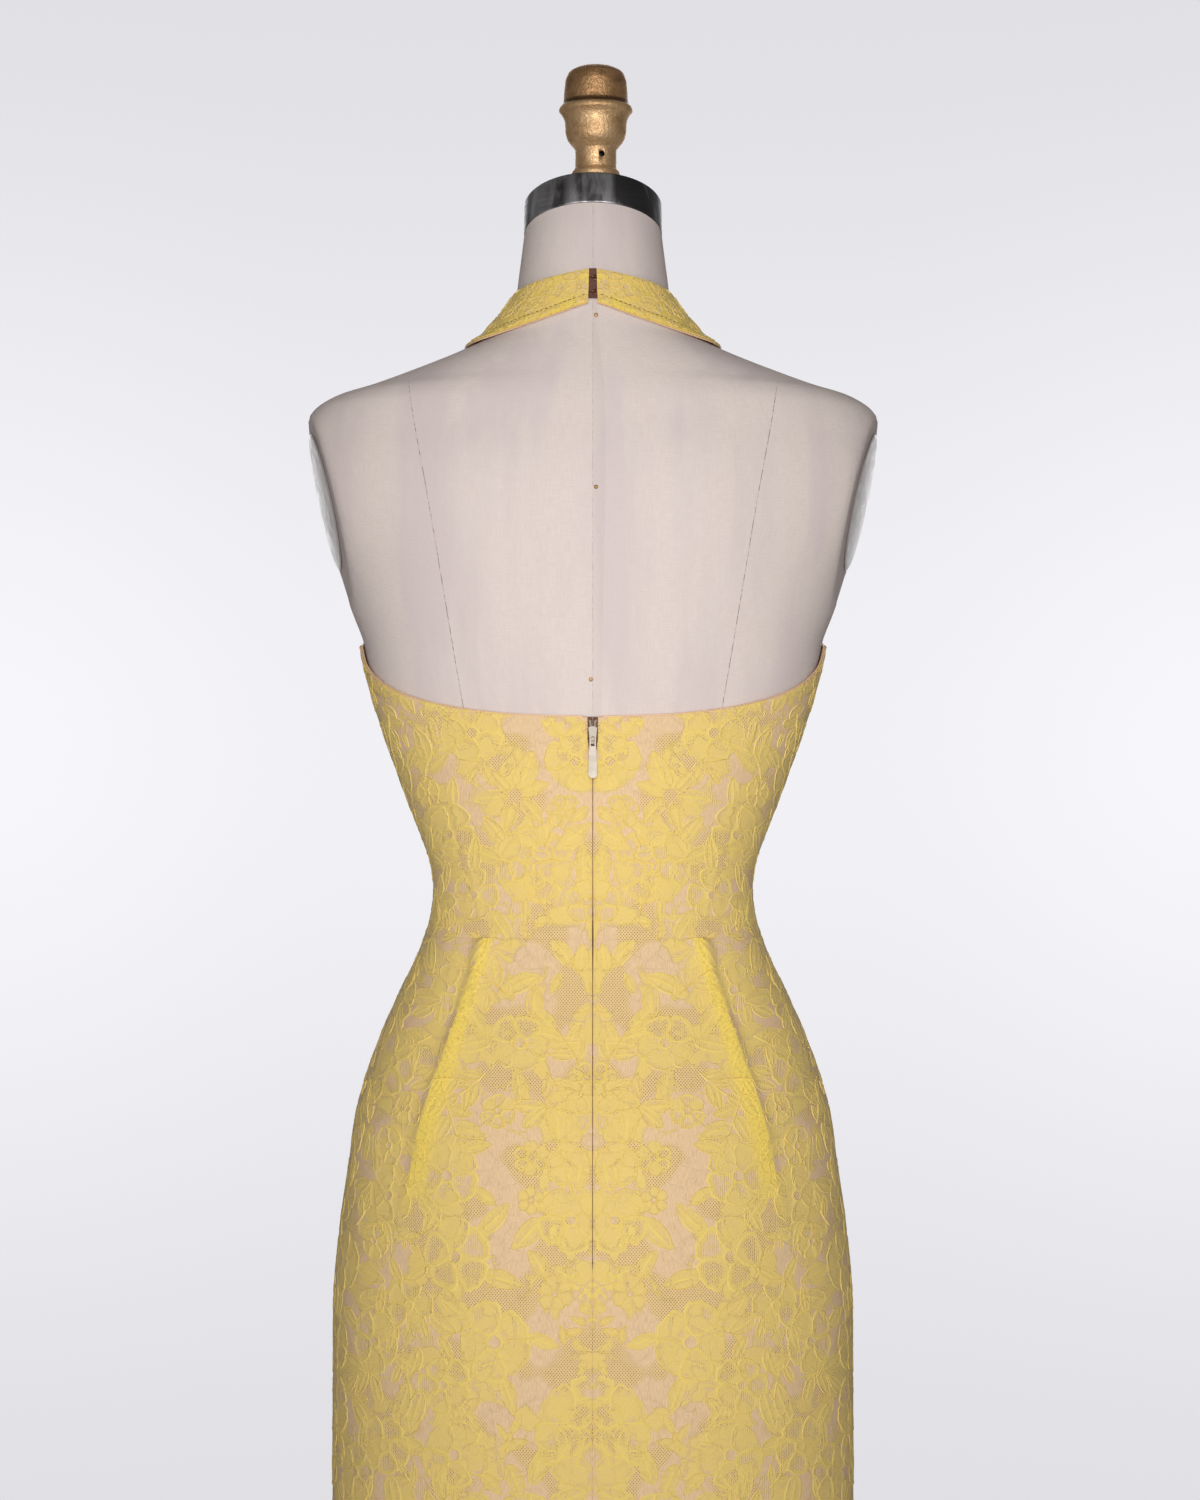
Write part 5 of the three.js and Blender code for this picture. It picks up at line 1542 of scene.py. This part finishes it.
def gold_material():
    """Cast bronze-gold, dull and darker in its grooves and on the knob."""
    f = Finish("old_gold", Specular_IOR_Level=0.4)
    place = f.place()
    height = f.parts(place)[2]
    cast = f.noise(f.scaled(place, (420.0, 420.0, 420.0)), 1.0, 3.0, 0.6)
    worn = f.noise(f.scaled(place, (60.0, 60.0, 90.0)), 1.0, 3.0, 0.65)
    colour = f.mix(f.ease(worn, 0.4, 0.75), srgb(226, 188, 141), srgb(184, 144, 99))
    knob = f.mix(f.ease(worn, 0.35, 0.7), srgb(194, 151, 106), srgb(142, 107, 71))
    colour = f.mix(f.ease(height, KNOB_FOOT - 0.0006, KNOB_FOOT + 0.0006), colour, knob)
    from_groove = f.math("ABSOLUTE", f.math("SUBTRACT", height, KNOB_FOOT + 0.0015))
    groove = f.ease(from_groove, 0.0008, 0.0026, 0.75, 0.0)
    colour = f.mix(groove, colour, srgb(62, 42, 26))
    off_axis = f.math("SUBTRACT", f.parts(place)[0], FINIAL_OFF_CENTRE * MM)
    flat = f.node("ShaderNodeCombineXYZ", {0: off_axis, 1: f.parts(place)[1]}).outputs[0]
    from_axis = f.node("ShaderNodeVectorMath", {0: flat}, operation="LENGTH").outputs["Value"]
    # Painted shade: inside the set hole the bronze is painted near black and less metallic, as the shade in
    # the bore.
    stem, hole = SET_HOLE["stem"] * MM, SET_HOLE["height"] * MM
    from_hole = f.math("ABSOLUTE", f.math("SUBTRACT", height, hole))
    hole_shade = f.math("MULTIPLY", f.ease(from_axis, stem - 0.0003, stem - 0.0001, 1.0, 0.0),
                   f.ease(from_hole, 0.0024, 0.0028, 1.0, 0.0))
    f.set("Base Color", f.mix(hole_shade, colour, srgb(14, 9, 6)))
    f.set("Metallic", f.math("MULTIPLY_ADD", hole_shade, -0.8, 0.8))
    f.set("Roughness", f.ease(worn, 0.3, 0.8, 0.48, 0.64))
    f.bump(cast, 0.0011, 0.6)
    return f.material


def enamel_material(name, low, high, roughness, metallic=0.0):
    f = Finish(name, Metallic=metallic, Specular_IOR_Level=0.5)
    mottle = f.noise(f.scaled(f.place(), (160.0, 160.0, 160.0)), 1.0, 3.0, 0.6)
    f.paint(mottle, low, high)
    f.set("Roughness", f.ease(mottle, 0.25, 0.8, roughness - 0.08, roughness + 0.1))
    f.bump(mottle, 0.0001, 0.3)
    return f.material


# ---------------------------------------------------------------- stage, lights and camera
FLOOR_RADIUS = 3.1  # metres, just short of what the camera sees
FLOOR_SIDES = 96
FRONT_LIGHT = {"power": 1.3, "elevation": 14, "softness": 40}
STRIP_LIGHT = {"power": 2.55, "place": (0.0, 1.62, 1.15), "width": 0.4, "height": 1.3, "spread": 52}


def add_world():
    """A studio bright before and behind the dress, dark to its sides, and seen as a pale backdrop with
    painted light: brightest in a band just above the camera's level, a little dimmer straight behind the
    dress.
    """
    world = bpy.data.worlds.new("studio")
    bpy.context.scene.world = world
    world.use_nodes = True
    n = Nodes(world.node_tree)
    x, y, z = n.parts(n.node("ShaderNodeTexCoord").outputs["Generated"])
    light = n.math("MULTIPLY_ADD", n.math("POWER", y, 4.0), 0.78, 0.08)
    lit = n.node("ShaderNodeBackground", {"Color": (1.0, 0.99, 1.0, 1.0), "Strength": light})
    # Painted light on the backdrop the camera sees: brightest in a band just above the camera's level, a
    # little dimmer straight behind the dress.
    level = n.ease(n.math("ABSOLUTE", n.math("SUBTRACT", z, 0.03)), 0.0, 0.24, 1.0, 0.0)
    outward = n.ease(n.math("ABSOLUTE", x), 0.07, 0.18, 0.75, 1.0)
    backdrop_painted_light = n.mix(n.math("MULTIPLY", level, outward), srgb(224, 223, 228), srgb(247, 246, 250))
    seen = n.node("ShaderNodeBackground", {"Color": backdrop_painted_light})
    by_camera = n.node("ShaderNodeLightPath").outputs["Is Camera Ray"]
    shown = n.node("ShaderNodeMixShader", {0: by_camera, 1: lit.outputs[0], 2: seen.outputs[0]})
    n.node("ShaderNodeOutputWorld", {"Surface": shown.outputs[0]})


def add_light(name, kind, power, tilt, **settings):
    light = bpy.data.lights.new(name, kind)
    light.energy = power
    for key, value in settings.items():
        setattr(light, key, value)
    lamp = bpy.data.objects.new(name, light)
    lamp.rotation_euler = (math.radians(tilt), 0, 0)
    bpy.context.scene.collection.objects.link(lamp)
    return lamp


def add_stage():
    angle = np.linspace(0, 2 * np.pi, FLOOR_SIDES, endpoint=False)
    rim = np.column_stack([np.cos(angle), np.sin(angle), 0 * angle]) * FLOOR_RADIUS / MM
    floor = mesh_object("floor", rim, [range(FLOOR_SIDES)], smooth=False)
    f = Finish("pale_floor", Roughness=0.9, Specular_IOR_Level=0.1)
    speckle = f.noise(f.place(), 40.0, 2.0, 0.5)
    f.paint(speckle, (240, 239, 243), (246, 245, 248))
    floor.data.materials.append(f.material)
    floor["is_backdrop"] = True

    add_light("front_light", "SUN", FRONT_LIGHT["power"], 90 - FRONT_LIGHT["elevation"],
              angle=math.radians(FRONT_LIGHT["softness"]))
    # A tall strip light with a grid, behind the dress: its beam narrows to the sides.
    strip = add_light("strip_light", "AREA", STRIP_LIGHT["power"], -90, shape="RECTANGLE",
                      size=STRIP_LIGHT["width"], size_y=STRIP_LIGHT["height"],
                      spread=math.radians(STRIP_LIGHT["spread"]))
    strip.location = STRIP_LIGHT["place"]
    strip.visible_camera = False


FOCAL = 3400.0  # pixels of a frame 1500 high
FRAME_HEIGHT = 1500.0
SENSOR = 36.0
CAMERA_PLACE = (-0.005, 2.430, 1.108)
CAMERA_RISE = 100  # pixels by which the camera looks above the level


def add_camera():
    data = bpy.data.cameras.new("camera")
    data.sensor_width, data.lens = SENSOR, SENSOR * FOCAL / FRAME_HEIGHT
    camera = bpy.data.objects.new("camera", data)
    bpy.context.scene.collection.objects.link(camera)
    camera.location = CAMERA_PLACE
    camera.rotation_euler = (math.radians(90) + math.atan(CAMERA_RISE / FOCAL), 0, math.radians(180))
    bpy.context.scene.camera = camera
    bpy.context.scene.view_settings.view_transform = "Standard"


# ---------------------------------------------------------------- the whole scene
def repaint(nodes, material):
    for name in nodes:
        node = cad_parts[name]
        node.data.materials.clear()
        node.data.materials.append(material)


add_camera()
add_world()
add_stage()
lace = lace_material()
add_linings(lining_material())
add_laces(lace, add_motifs(lace))
add_torso(linen_material())
brass = gold_material()
dark = enamel_material("dark_enamel", (38, 38, 41), (58, 58, 62), 0.4)
add_form_details(seam_material("panel_seam", (158, 141, 140), (206, 192, 187)),
                 seam_material("linen_seam", (202, 187, 182), (220, 206, 200)), brass)
add_neck_cap(steel_material("cap_steel", (94, 92, 92), (196, 193, 194), 0.38, CAP_PAINTED_LIGHT))
add_finial(brass)
ivory = enamel_material("ivory_enamel", (182, 168, 149), (196, 183, 164), 0.4)
bronze = enamel_material("hook_bronze", (92, 56, 40), (128, 84, 60), 0.4, metallic=0.7)
# The chain's dark brown is painted shade in the closed zip's gap.
add_zip(ivory, enamel_material("zip_chain", (88, 52, 40), (120, 76, 56), 0.6))
# The hook tape's dark brown is partly its own colour and partly painted shade in the neck gap.
add_neck_tape(enamel_material("hook_tape", (84, 50, 42), (112, 72, 60), 0.7))
add_band_stitches(enamel_material("stitch_thread", (88, 66, 30), (118, 92, 44), 0.8))
tape = shaded_tape_material()
repaint(("zip_tape_left", "zip_tape_right"), tape)
repaint(("zip_slider", "zip_pull_tab"), ivory)
repaint(("neck_hook_upper", "neck_hook_lower", "neck_eye_upper", "neck_eye_lower"), bronze)
repaint(("form_arm_plate_left", "form_arm_plate_right"),
        enamel_material("plate_enamel", (176, 167, 165), (192, 183, 181), 0.35, metallic=0.1))
repaint(("form_flange", "form_base_collar"), dark)
repaint(("form_pole",), steel_material("pole_steel", (132, 133, 136), (172, 173, 176), 0.28))
repaint(("form_base",), enamel_material("dark_iron", (34, 34, 36), (52, 52, 55), 0.5))

{"cad": [list(c) for c in cad_box], "visual": [list(c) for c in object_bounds()]}
